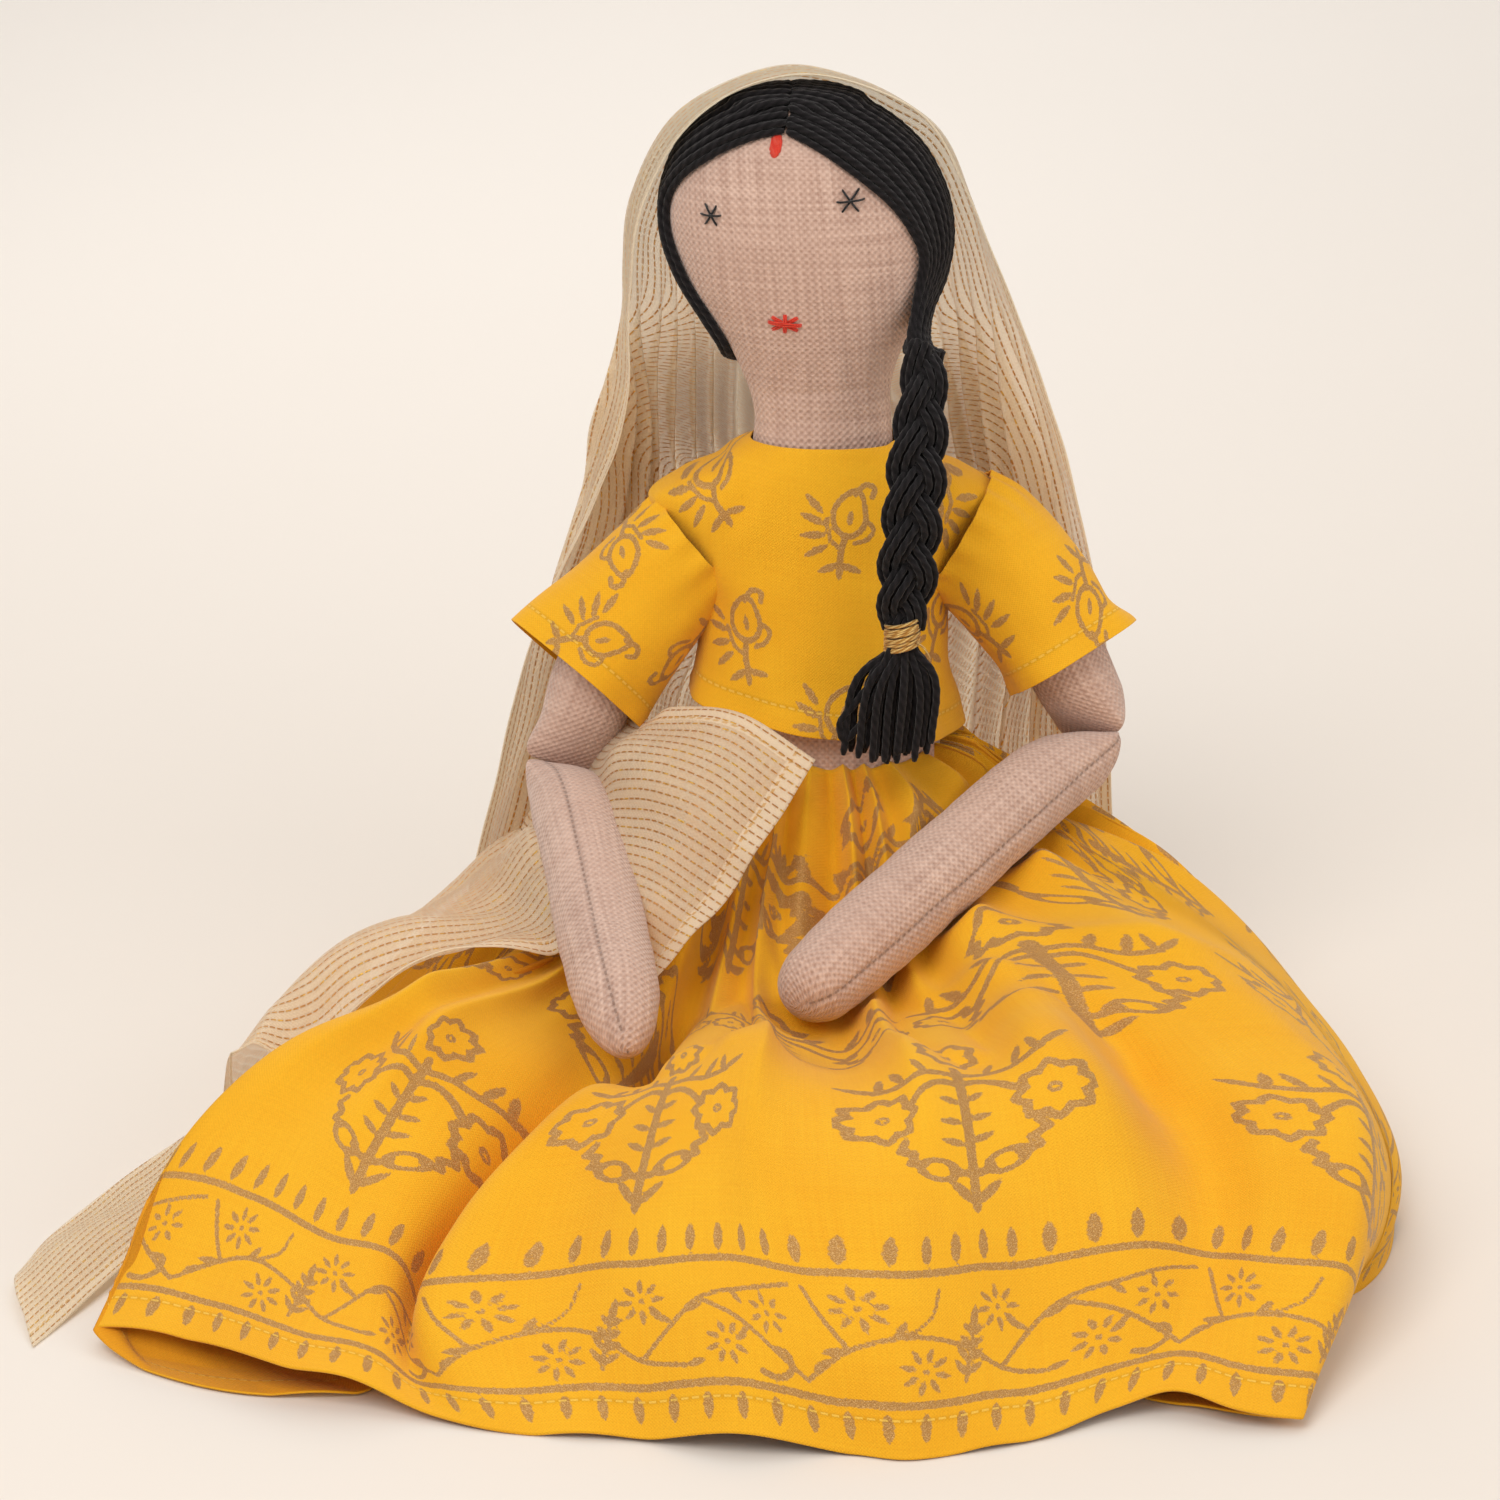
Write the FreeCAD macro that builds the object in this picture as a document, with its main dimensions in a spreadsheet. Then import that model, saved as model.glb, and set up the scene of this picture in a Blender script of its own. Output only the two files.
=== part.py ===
import FreeCAD, Part
import math
import os
from FreeCAD import Placement, Rotation, Vector

# Seated rag doll in a blouse, gathered skirt and veil.
# Millimetres. The origin is on the floor under the seat, +Z up, the doll faces -Y.
# Right and left are the doll's own: its right side is -X.

os.makedirs("parts", exist_ok=True)
doc = FreeCAD.newDocument("RagDoll")
sheet = doc.addObject("Spreadsheet::Sheet", "Sizes")

SIZES = [
    ("skin_thickness", "0.8"),
    ("filling_gap", "0.2"),
    ("cloth_thickness", "1.0"),
    ("cloth_gap", "0.5"),
    ("body_lean", "0.07"),
    ("arm_radius", "11.5"),
    ("leg_radius", "11.8"),
    ("crease_angle", "33"),
    ("crease_gap", "1.7"),
    ("crease_edge", "0.5"),
    ("neck_height", "172.5"),
    ("neck_tilt_per_mm", "0.09"),
    ("hair_thickness", "2.8"),
    ("sleeve_top_radius", "14.2"),
    ("sleeve_hem_radius", "19.5"),
    ("sleeve_depth_ratio", "0.82"),
    ("strand_radius", "3.2"),
    ("strand_spread", "3.75"),
    ("tie_radius", "4.3"),
    ("tie_height", "4.8"),
    ("tassel_width", "12"),
    ("tassel_depth", "6.5"),
    ("tassel_length", "30"),
    ("thread_radius", "0.35"),
    ("strip_length", "46"),
    ("strip_width", "9"),
    ("strip_thickness", "0.8"),
    ("elastic_height", "5"),
    ("elastic_thickness", "0.9"),
    ("elastic_half_width", "34.6"),
    ("elastic_half_depth", "25.4"),
    ("waist_height", "84"),
    ("tail_length", "46"),
    ("tail_width", "19"),
    ("tail_thickness", "3.2"),
]
for row, (alias, value) in enumerate(SIZES, start=1):
    sheet.set("A%d" % row, alias)
    sheet.set("B%d" % row, value)
    sheet.setAlias("B%d" % row, alias)
doc.recompute()

SECTION_POINTS = 16
X_AXIS = Vector(1, 0, 0)
Y_AXIS = Vector(0, 1, 0)
Z_AXIS = Vector(0, 0, 1)


def size(alias):
    return float(sheet.get(alias))


def closed_curve(points):
    """Smooth closed wire through the points."""
    curve = Part.BSplineCurve()
    curve.interpolate(Points=points, PeriodicFlag=True)
    return Part.Wire(curve.toShape())


def oval(centre, across, forward, half_width, half_depth):
    """Oval wire spanned by two unit directions."""
    points = []
    for step in range(SECTION_POINTS):
        angle = 2 * math.pi * step / SECTION_POINTS
        along = across * (half_width * math.cos(angle))
        points.append(centre + along + forward * (half_depth * math.sin(angle)))
    return closed_curve(points)


def stacked(sections, inset):
    """Solid through level ovals (height, middle x, middle y, half width, half depth)."""
    wires = []
    last = len(sections) - 1
    for index, (height, mid_x, mid_y, half_width, half_depth) in enumerate(sections):
        level = height
        if index == 0:
            level = height + inset
        if index == last:
            level = height - inset
        centre = Vector(mid_x, mid_y, level)
        wires.append(oval(centre, X_AXIS, Y_AXIS, half_width - inset, half_depth - inset))
    return Part.makeLoft(wires, True, False)


def limb(start, end, radius, hinge_axis, creases, inset):
    """Stuffed limb from start to end: each end is a flat crease or a round end."""
    direction = (end - start).normalize()
    across = hinge_axis - direction * hinge_axis.dot(direction)
    across.normalize()
    thick = direction.cross(across)
    length = (end - start).Length
    taper = radius / math.tan(math.radians(size("crease_angle")))
    edge = size("crease_edge") / radius
    gap = size("crease_gap")
    crease = [(gap, 0.86, edge), (taper * 0.3, 0.93, 0.3), (taper * 0.65, 0.98, 0.65), (taper, 1.0, 1.0)]
    rounded = []
    for angle in (20, 42, 66, 90):
        turn = math.radians(angle)
        rounded.append((radius * (1 - math.cos(turn)), math.sin(turn), math.sin(turn)))
    first = crease if creases[0] else rounded
    second = crease if creases[1] else rounded
    profile = list(first)
    begin, finish = first[-1][0], length - second[-1][0]
    for share in (0.25, 0.5, 0.75):
        profile.append((begin + (finish - begin) * share, 1.0, 1.0))
    profile += [(length - place, wide, deep) for place, wide, deep in reversed(second)]
    wires = []
    last = len(profile) - 1
    for index, (place, wide, deep) in enumerate(profile):
        shift = 0.0
        if index == 0:
            shift = inset
        if index == last:
            shift = -inset
        half_width = max(radius * wide - inset, 0.3)
        half_depth = max(radius * deep - inset, 0.15)
        centre = start + direction * (place + shift)
        wires.append(oval(centre, across, thick, half_width, half_depth))
    return Part.makeLoft(wires, True, False)


def add_solid(label, shape):
    feature = doc.addObject("Part::Feature", label)
    feature.Label = label
    feature.Shape = shape
    return feature


def add_stuffed(label, builder):
    """Cloth skin with its filling inside."""
    skin = size("skin_thickness")
    outer = builder(0.0)
    add_solid(label + "_skin", outer.cut(builder(skin)))
    add_solid(label + "_filling", builder(skin + size("filling_gap")))
    return outer


def lean(height):
    return size("body_lean") * height


# ---- torso -------------------------------------------------------------------------------

TORSO_OUTLINE = [
    (0.0, 0.0, 30.0, 20.0),
    (4.0, 0.0, 33.5, 23.5),
    (14.0, 0.0, 35.0, 25.5),
    (40.0, 0.0, 35.0, 26.0),
    (70.0, 0.0, 33.6, 24.4),
    (100.0, 0.0, 31.0, 22.0),
    (128.0, 0.0, 29.5, 20.0),
    (145.0, -0.5, 29.5, 18.0),
    (156.0, -0.5, 25.5, 16.0),
    (164.0, -0.8, 19.0, 14.0),
    (169.0, -1.0, 13.0, 10.0),
    (171.6, -1.0, 6.0, 5.0),
]
TORSO = [(h, x, lean(h), a, b) for h, x, a, b in TORSO_OUTLINE]
add_stuffed("torso", lambda inset: stacked(TORSO, inset))

# ---- head and neck -----------------------------------------------------------------------

HEAD_OUTLINE = [
    (173.6, 6.0, 5.0),
    (176.0, 13.5, 10.5),
    (180.0, 18.0, 14.0),
    (188.0, 20.5, 16.0),
    (198.0, 27.0, 19.5),
    (210.0, 33.0, 22.5),
    (222.0, 35.5, 24.0),
    (234.0, 33.5, 23.0),
    (244.0, 27.5, 20.0),
    (251.0, 18.5, 14.5),
    (255.5, 9.0, 7.5),
]


def head_middle(height):
    """Middle of the head at a height: it leans to the doll's right."""
    rise = height - size("neck_height")
    return Vector(-0.9 - size("neck_tilt_per_mm") * rise, lean(height), height)


HEAD = [(h, head_middle(h).x, head_middle(h).y, a, b) for h, a, b in HEAD_OUTLINE]
add_stuffed("head", lambda inset: stacked(HEAD, inset))


def face_front(x, height):
    """y of the face surface at x and height."""
    rows = HEAD
    for low, high in zip(rows, rows[1:]):
        if low[0] <= height <= high[0]:
            part = (height - low[0]) / (high[0] - low[0])
            mid_x, mid_y, half_width, half_depth = [
                low[k] + part * (high[k] - low[k]) for k in range(1, 5)
            ]
            reach = min(abs(x - mid_x) / half_width, 0.98)
            return mid_y - half_depth * math.sqrt(1 - reach * reach)
    raise ValueError("height is off the head")


def stitch_bar(centre, angle, length, radius):
    """One thread lying on the face, turned by an angle from level."""
    turn = math.radians(angle)
    direction = Vector(math.cos(turn), 0, math.sin(turn))
    start = centre - direction * (length / 2)
    return Part.makeCylinder(radius, length, start, direction)


def star_stitch(label, x, height, bars, radius):
    """Crossed straight stitches: bars holds an angle and a length for each."""
    centre = Vector(x, face_front(x, height) - radius - 1.9, height)
    shape = None
    for angle, length in bars:
        bar = stitch_bar(centre, angle, length, radius)
        shape = bar if shape is None else shape.fuse(bar)
    add_solid(label, shape.removeSplitter())


THREAD = size("thread_radius")
star_stitch("eye_right", -30.0, 228.4, [(60, 6.0), (120, 6.0), (0, 5.0)], THREAD)
star_stitch("eye_left", 5.6, 232.9, [(52, 7.4), (128, 7.4), (4, 7.4)], THREAD)
star_stitch("mouth", -11.0, 201.0, [(28, 8.4), (152, 8.4), (90, 5.2), (-4, 9.0)], THREAD * 1.8)

bindi_centre = Vector(-13.4, face_front(-13.4, 246.0) - 3.7, 246.0)
bindi = doc.addObject("Part::Ellipsoid", "bindi")
bindi.Label = "bindi"
bindi.setExpression("Radius1", "Sizes.thread_radius * 1.6")
bindi.setExpression("Radius2", "Sizes.thread_radius * 8.6")
bindi.setExpression("Radius3", "Sizes.thread_radius * 4.6")
bindi.Placement = Placement(bindi_centre, Rotation(Z_AXIS, 90).multiply(Rotation(X_AXIS, 90)))

# ---- hair and hood -----------------------------------------------------------------------


def grown(sections, amount, lowest):
    """Sections widened by an amount, from a lowest height up."""
    wider = []
    for height, mid_x, mid_y, half_width, half_depth in sections:
        if height >= lowest:
            wider.append((height, mid_x, mid_y, half_width + amount, half_depth + amount))
    top = wider[-1]
    wider[-1] = (top[0] + amount, top[1], top[2], top[3], top[4])
    return wider


hair_outer = stacked(grown(HEAD, size("hair_thickness"), 188.0), 0.0)
hair_inner = stacked(grown(HEAD, 0.3, 180.0), 0.0)
behind_face = Part.makeBox(200, 100, 200, Vector(-100, 0, -100))
behind_face.Placement = Placement(Vector(-4, 1.5, 240), Rotation(-10, 0, 22))
hair = hair_outer.cut(hair_inner).common(behind_face)
add_solid("hair_cap", hair)

HOOD = [
    (186.0, -2.0, 21.0, 52.0, 35.0),
    (205.0, -4.0, 20.0, 49.0, 34.5),
    (225.0, -5.0, 20.0, 45.5, 33.5),
    (240.0, -6.5, 20.0, 39.5, 31.0),
    (252.0, -7.5, 19.0, 29.0, 25.0),
    (260.0, -8.0, 18.0, 17.0, 16.0),
    (263.5, -8.0, 18.0, 7.0, 7.0),
]
hood_open = [(184.0,) + HOOD[0][1:]] + HOOD[1:]
hood_shell = stacked(HOOD, 0.0).cut(stacked(hood_open, size("cloth_thickness")))
hood_region = Part.makeBox(200, 100, 200, Vector(-100, 8, 150))
add_solid("veil_hood", hood_shell.common(hood_region))

# ---- plait -------------------------------------------------------------------------------

PLAIT_TOP = Vector(25.0, -14.0, 194.0)
PLAIT_END = Vector(19.5, -32.0, 126.0)
plait_direction = (PLAIT_END - PLAIT_TOP).normalize()
plait_across = (X_AXIS - plait_direction * X_AXIS.dot(plait_direction)).normalize()
plait_forward = plait_direction.cross(plait_across)
plait_length = (PLAIT_END - PLAIT_TOP).Length
plait_turn = Rotation(Z_AXIS, plait_direction)

for index, letter in enumerate("abc"):
    angle = math.radians(90 + 120 * index)
    side = plait_across * math.cos(angle) + plait_forward * math.sin(angle)
    strand = doc.addObject("Part::Cylinder", "plait_strand_" + letter)
    strand.Label = "plait_strand_" + letter
    strand.setExpression("Radius", "Sizes.strand_radius")
    strand.Height = plait_length - 0.3
    strand.Placement = Placement(PLAIT_TOP + side * size("strand_spread"), plait_turn)

tie = doc.addObject("Part::Cylinder", "plait_tie")
tie.Label = "plait_tie"
tie.setExpression("Radius", "Sizes.tie_radius")
tie.setExpression("Height", "Sizes.tie_height")
tie.Placement = Placement(PLAIT_END, plait_turn)

DOWN = Vector(0, 0, -1)
tassel_start = PLAIT_END + plait_direction * (size("tie_height") + 0.2) + DOWN * 1.4
tassel_wires = []
for part, spread in ((0.0, 0.36), (0.3, 0.62), (0.65, 0.86), (1.0, 1.0)):
    centre = tassel_start + DOWN * (size("tassel_length") * part) + X_AXIS * (-4.0 * part)
    half_width = size("tassel_width") * spread
    half_depth = size("tassel_depth") * min(spread + 0.2, 1.0)
    tassel_wires.append(oval(centre, X_AXIS, Y_AXIS, half_width, half_depth))
add_solid("plait_tassel", Part.makeLoft(tassel_wires, True, False))

# ---- arms and sleeves --------------------------------------------------------------------

ARMS = {
    "right": {
        "shoulder": Vector(-48.0, 9.0, 149.0),
        "elbow": Vector(-69.5, -4.5, 79.0),
        "hand": Vector(-49.5, -119.0, 47.0),
        "elbow_axis": Vector(-0.915, -0.249, 0.317),
    },
    "left": {
        "shoulder": Vector(48.0, 9.5, 153.0),
        "elbow": Vector(72.5, 0.0, 86.5),
        "hand": Vector(-9.5, -88.5, 46.0),
        "elbow_axis": Vector(-0.618, 0.706, -0.345),
    },
}


def sleeve_solid(arm, inset):
    """Flared tube from the armhole to above the elbow, cut level with its own axis."""
    direction = (arm["elbow"] - arm["shoulder"]).normalize()
    across = (X_AXIS - direction * X_AXIS.dot(direction)).normalize()
    forward = direction.cross(across)
    top = size("sleeve_top_radius") - inset
    hem = size("sleeve_hem_radius") - inset
    flat = size("sleeve_depth_ratio")
    reach = -inset
    rows = [
        (-11.0 - reach, top * 0.55, top * 0.55),
        (-6.0, top * 0.88, top * 0.88),
        (2.0, top, top),
        (25.0, (top + hem) / 2, (top + hem) / 2 * 0.9),
        (51.0 + 2 * inset, hem, hem * flat),
    ]
    wires = []
    for place, half_width, half_depth in rows:
        centre = arm["shoulder"] + direction * place
        wires.append(oval(centre, across, forward, half_width, half_depth))
    return Part.makeLoft(wires, True, False)


arm_outers = []
for side, arm in ARMS.items():
    shoulder, elbow, hand = arm["shoulder"], arm["elbow"], arm["hand"]
    axis = arm["elbow_axis"]
    upper_start = shoulder - (elbow - shoulder).normalize() * (size("arm_radius") * 0.72)

    def upper(inset, start=upper_start, end=elbow, hinge=axis):
        return limb(start, end, size("arm_radius"), hinge, (False, True), inset)

    def fore(inset, start=elbow, end=hand, hinge=axis):
        return limb(start, end, size("arm_radius"), hinge, (True, False), inset)

    add_stuffed(side + "_upper_arm", upper)
    arm_outers.append((elbow, hand))
    add_stuffed(side + "_forearm", fore)
    tube = sleeve_solid(arm, 0.0).cut(sleeve_solid(arm, size("cloth_thickness")))
    add_solid(side + "_sleeve", tube)

# ---- legs --------------------------------------------------------------------------------

LEGS = {
    "right": {
        "hip": Vector(-18.0, -27.5, 13.0),
        "knee": Vector(-30.0, -137.0, 43.0),
        "toe": Vector(-23.0, -213.0, 12.4),
    },
    "left": {
        "hip": Vector(18.0, -27.5, 13.0),
        "knee": Vector(30.0, -137.0, 43.0),
        "toe": Vector(14.0, -209.0, 12.4),
    },
}
for side, leg in LEGS.items():

    def thigh(inset, start=leg["hip"], end=leg["knee"]):
        return limb(start, end, size("leg_radius"), X_AXIS, (True, True), inset)

    def shin(inset, start=leg["knee"], end=leg["toe"]):
        return limb(start, end, size("leg_radius"), X_AXIS, (True, False), inset)

    add_stuffed(side + "_thigh", thigh)
    add_stuffed(side + "_shin", shin)

# ---- blouse body and its closure ---------------------------------------------------------


def let_out(gap):
    """Torso outline let out all round by a gap."""
    rows = [(h, x, y, a + gap, b + gap) for h, x, y, a, b in TORSO]
    return stacked(rows, 0.0)


BODICE_LOW = 91.0
BODICE_HIGH = 163.5
bodice_band = Part.makeBox(200, 200, BODICE_HIGH - BODICE_LOW, Vector(-100, -100, BODICE_LOW))
bodice_outer = let_out(size("cloth_gap") + size("cloth_thickness")).common(bodice_band)
bodice_inner = let_out(size("cloth_gap"))
back_slit = Part.makeBox(1.2, 30, 100, Vector(6.0, 20, 80))
add_solid("choli_bodice", bodice_outer.cut(bodice_inner).cut(back_slit))


def closure_strip(label, back_y):
    """Flat fastening strip on the back of the blouse, standing along the slit."""
    body = doc.addObject("PartDesign::Body", label)
    body.Label = label
    sketch = body.newObject("Sketcher::SketchObject", label + "_outline")
    planes = [f for f in body.Origin.OriginFeatures if f.Role == "XZ_Plane"]
    sketch.AttachmentSupport = [(planes[0], "")]
    sketch.MapMode = "FlatFace"
    half = size("strip_width") / 2
    length = size("strip_length")
    corners = [Vector(-half, 0, 0), Vector(half, 0, 0), Vector(half, length, 0), Vector(-half, length, 0)]
    for index in range(4):
        sketch.addGeometry(Part.LineSegment(corners[index], corners[(index + 1) % 4]), False)
    doc.recompute()
    pad = body.newObject("PartDesign::Pad", label + "_pad")
    pad.Profile = sketch
    pad.setExpression("Length", "Sizes.strip_thickness")
    doc.recompute()
    body.Placement = Placement(Vector(6.6, back_y, 100.0), Rotation(0, 0, 0))
    return body


closure_strip("closure_loop_strip", 32.3)
closure_strip("closure_hook_strip", 33.4)

# ---- skirt -------------------------------------------------------------------------------

# Plan outlines of the spread skirt, each at its own height, clockwise from the front middle.
HEM_OUTLINE = [
    (0, -233), (45, -227), (76, -211), (103, -215), (117, -176), (133, -136), (124, -80),
    (108, -20), (92, 30), (52, 62), (0, 70), (-52, 60), (-92, 30), (-116, -20), (-140, -80),
    (-168, -140), (-174, -178), (-150, -192), (-112, -206), (-60, -226),
]
LOW_OUTLINE = [
    (0, -225), (42, -220), (74, -203), (98, -200), (113, -170), (128, -134), (119, -82),
    (103, -22), (87, 24), (50, 52), (0, 60), (-50, 50), (-86, 24), (-110, -22), (-134, -82),
    (-158, -132), (-160, -160), (-138, -176), (-104, -192), (-56, -216),
]
MIDDLE_OUTLINE = [
    (0, -203), (38, -200), (68, -184), (90, -170), (104, -148), (112, -120), (106, -78),
    (92, -26), (76, 16), (44, 38), (0, 46), (-44, 38), (-74, 16), (-96, -26), (-116, -78),
    (-132, -112), (-130, -136), (-112, -152), (-84, -170), (-48, -193),
]
TOP_OUTLINE = [
    (0, -170), (30, -170), (54, -164), (68, -152), (74, -136), (76, -116), (70, -76),
    (60, -36), (48, -8), (28, 6), (0, 12), (-28, 6), (-48, -8), (-60, -36), (-74, -76),
    (-82, -100), (-82, -118), (-76, -134), (-60, -154), (-34, -167),
]
SKIRT_LEVELS = [(0.0, HEM_OUTLINE), (18.0, LOW_OUTLINE), (42.0, MIDDLE_OUTLINE), (62.0, TOP_OUTLINE)]


def mound(inset, drop):
    """Spread part of the skirt as a filled mound, shrunk by an inset."""
    wires = []
    for height, outline in SKIRT_LEVELS:
        middle_x = sum(x for x, _ in outline) / len(outline)
        middle_y = sum(y for _, y in outline) / len(outline)
        points = []
        for x, y in outline:
            out = Vector(x - middle_x, y - middle_y, 0)
            reach = out.Length
            out = out * ((reach - inset) / reach)
            points.append(Vector(middle_x + out.x, middle_y + out.y, height))
        wires.append(closed_curve(points))
    solid = Part.makeLoft(wires, True, False)
    solid.translate(Vector(0, 0, -drop))
    return solid


def waist_cone(inset, over):
    """Gathered part of the skirt from the waist down into the mound."""
    rows = [
        (26.0, 66.0, 58.0, -6.0),
        (50.0, 50.0, 42.0, 0.0),
        (70.0, 40.0, 31.0, 5.0),
        (size("waist_height") + over, 37.4, 28.2, 6.2),
    ]
    wires = []
    for height, half_width, half_depth, mid_y in rows:
        centre = Vector(0, mid_y, height)
        wires.append(oval(centre, X_AXIS, Y_AXIS, half_width - inset, half_depth - inset))
    return Part.makeLoft(wires, True, False)


def lap_bowl(grow):
    """Hollow of the lap between the waist and the knees."""
    ball = Part.makeSphere(1.0)
    matrix = FreeCAD.Matrix()
    matrix.scale(72.0 + grow, 52.0 + grow, 38.0 + grow)
    bowl = ball.transformGeometry(matrix)
    bowl.translate(Vector(-2, -84, 84.5))
    return bowl


def arm_room(grow):
    """Space kept clear for the resting forearms, open above so that they can lift."""
    room = None
    for elbow, hand in arm_outers:
        radius = size("arm_radius") + grow
        direction = (hand - elbow).normalize()
        tip = hand - direction * size("arm_radius")
        tube = Part.makeCylinder(radius, (tip - elbow).Length, elbow, direction)
        piece = tube.fuse(Part.makeSphere(radius, tip))
        across = direction.cross(Z_AXIS).normalize() * (radius - LIFT_INSET)
        front = hand + direction * (grow + HAND_REACH)
        corners = [elbow + across, elbow - across, front - across, front + across, elbow + across]
        corners = [corner + Z_AXIS * LIFT_START for corner in corners]
        way_up = Part.Face(Part.makePolygon(corners)).extrude(Vector(0, 0, LIFT_ROOM))
        piece = piece.fuse(way_up)
        room = piece if room is None else room.fuse(piece)
    return room


ARM_ROOM = 2.2
HAND_REACH = 4.0
LIFT_START = 6.0
LIFT_INSET = 0.9
LIFT_ROOM = 90.0
cloth = size("cloth_thickness")
inner_body = mound(cloth, cloth).cut(lap_bowl(cloth)).fuse(waist_cone(cloth, 1.0))
inner_body = inner_body.cut(arm_room(ARM_ROOM + cloth))
outer_body = mound(0.0, 0.0).cut(lap_bowl(0.0)).fuse(waist_cone(0.0, 0.0))
outer_body = outer_body.cut(arm_room(ARM_ROOM))
add_solid("skirt_cloth", outer_body.cut(inner_body))

elastic = doc.addObject("Part::Feature", "skirt_elastic")
elastic.Label = "skirt_elastic"


def elastic_ring(grow):
    base = Vector(0, lean(size("waist_height")), size("waist_height") - size("elastic_height") - 0.6)
    rim = oval(base, X_AXIS, Y_AXIS, size("elastic_half_width") + grow, size("elastic_half_depth") + grow)
    return Part.Face(rim).extrude(Vector(0, 0, size("elastic_height")))


elastic.Shape = elastic_ring(size("elastic_thickness")).cut(elastic_ring(0.0))

# ---- rest of the veil --------------------------------------------------------------------


def curtain(levels, thickness):
    """Thin standing wall: each level holds a height and its plan points."""
    wires = []
    for height, plan in levels:
        front = [Vector(x, y, height) for x, y in plan]
        back = []
        for index, point in enumerate(front):
            before = front[max(index - 1, 0)]
            after = front[min(index + 1, len(front) - 1)]
            along = (after - before).normalize()
            back.append(point + Vector(-along.y, along.x, 0) * thickness)
        outline = front + list(reversed(back)) + [front[0]]
        wires.append(Part.makePolygon(outline))
    return Part.makeLoft(wires, True, True)


VEIL_BACK = [
    (172.0, [(-56, 16), (-52, 36), (-26, 47), (0, 50), (26, 48), (52, 37), (59, 20)]),
    (112.0, [(-82, 24), (-72, 44), (-36, 54), (0, 56), (36, 54), (68, 42), (77, 26)]),
    (50.0, [(-101, 14), (-92, 44), (-44, 60), (0, 63), (44, 60), (80, 52), (88, 38)]),
]
add_solid("veil_back", curtain(VEIL_BACK, size("cloth_thickness")))


def plate(corners, thickness):
    """Flat cloth panel through its corners, thickened upwards."""
    outline = [Vector(*corner) for corner in corners]
    normal = (outline[1] - outline[0]).cross(outline[2] - outline[0]).normalize()
    if normal.z < 0:
        normal = normal * -1
    flat = [point - normal * normal.dot(point - outline[0]) for point in outline]
    face = Part.Face(Part.makePolygon(flat + [flat[0]]))
    return face.extrude(normal * thickness)


WRAP_CORNERS = [(-42, -30, 103), (-6, -38, 92), (-14, -57, 69), (-37, -75.5, 55.5), (-42, -62, 65.5)]
add_solid("veil_wrap", plate(WRAP_CORNERS, size("cloth_thickness")))

LAY_CORNERS = [(-86, -62, 60), (-148, -104, 44), (-158, -70, 30), (-122, -8, 30), (-101, 2, 40)]
add_solid("veil_lay", plate(LAY_CORNERS, size("cloth_thickness")))

tail = doc.addObject("Part::Box", "veil_tail")
tail.Label = "veil_tail"
tail.setExpression("Length", "Sizes.tail_length")
tail.setExpression("Width", "Sizes.tail_width")
tail.setExpression("Height", "Sizes.tail_thickness")
tail.Placement = Placement(Vector(-184, -182, 0.0), Rotation(Z_AXIS, 78))

# ---- export ------------------------------------------------------------------------------

doc.recompute()
NODE_TYPES = ("Part::Feature", "Part::Cylinder", "Part::Ellipsoid", "Part::Box", "PartDesign::Body")
nodes = [item for item in doc.Objects if item.TypeId in NODE_TYPES]
for item in doc.Objects:
    if "Invalid" in item.State or "Error" in item.State:
        raise RuntimeError("%s did not build: %s" % (item.Label, item.State))
for node in nodes:
    if node.Shape.isNull() or not node.Shape.isValid() or node.Shape.Volume <= 0:
        raise RuntimeError("%s has no valid shape" % node.Label)
    if len(node.Shape.Solids) != 1:
        raise RuntimeError("%s holds %d solids" % (node.Label, len(node.Shape.Solids)))
    node.Shape.exportStep("parts/%s.step" % node.Label)
    box = node.Shape.BoundBox
    print("%-26s %9.0f mm3  x %7.1f %7.1f  y %7.1f %7.1f  z %7.1f %7.1f" % (
        node.Label, node.Shape.Volume, box.XMin, box.XMax, box.YMin, box.YMax, box.ZMin, box.ZMax))
print("%d parts" % len(nodes))
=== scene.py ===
import math
import bpy
import numpy as np
from mathutils import Matrix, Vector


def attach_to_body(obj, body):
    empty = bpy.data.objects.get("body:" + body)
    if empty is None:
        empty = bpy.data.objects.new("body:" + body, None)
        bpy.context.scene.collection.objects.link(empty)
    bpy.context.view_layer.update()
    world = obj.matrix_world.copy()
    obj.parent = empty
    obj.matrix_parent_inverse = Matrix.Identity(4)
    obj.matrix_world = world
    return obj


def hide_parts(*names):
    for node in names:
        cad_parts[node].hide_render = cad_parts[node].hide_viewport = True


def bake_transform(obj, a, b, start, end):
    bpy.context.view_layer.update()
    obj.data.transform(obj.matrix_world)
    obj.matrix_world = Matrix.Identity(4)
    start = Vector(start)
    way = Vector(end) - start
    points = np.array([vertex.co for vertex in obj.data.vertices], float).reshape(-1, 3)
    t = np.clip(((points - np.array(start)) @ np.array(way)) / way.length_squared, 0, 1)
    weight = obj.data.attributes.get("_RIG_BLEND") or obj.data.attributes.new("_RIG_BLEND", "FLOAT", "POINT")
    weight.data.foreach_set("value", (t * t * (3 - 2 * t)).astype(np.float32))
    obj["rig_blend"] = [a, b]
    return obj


# Seated rag doll. Shapes are worked out in millimetres in the row's own frame and put into metres
# when a mesh is made. The doll faces -Y and its right side is -X.

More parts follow.
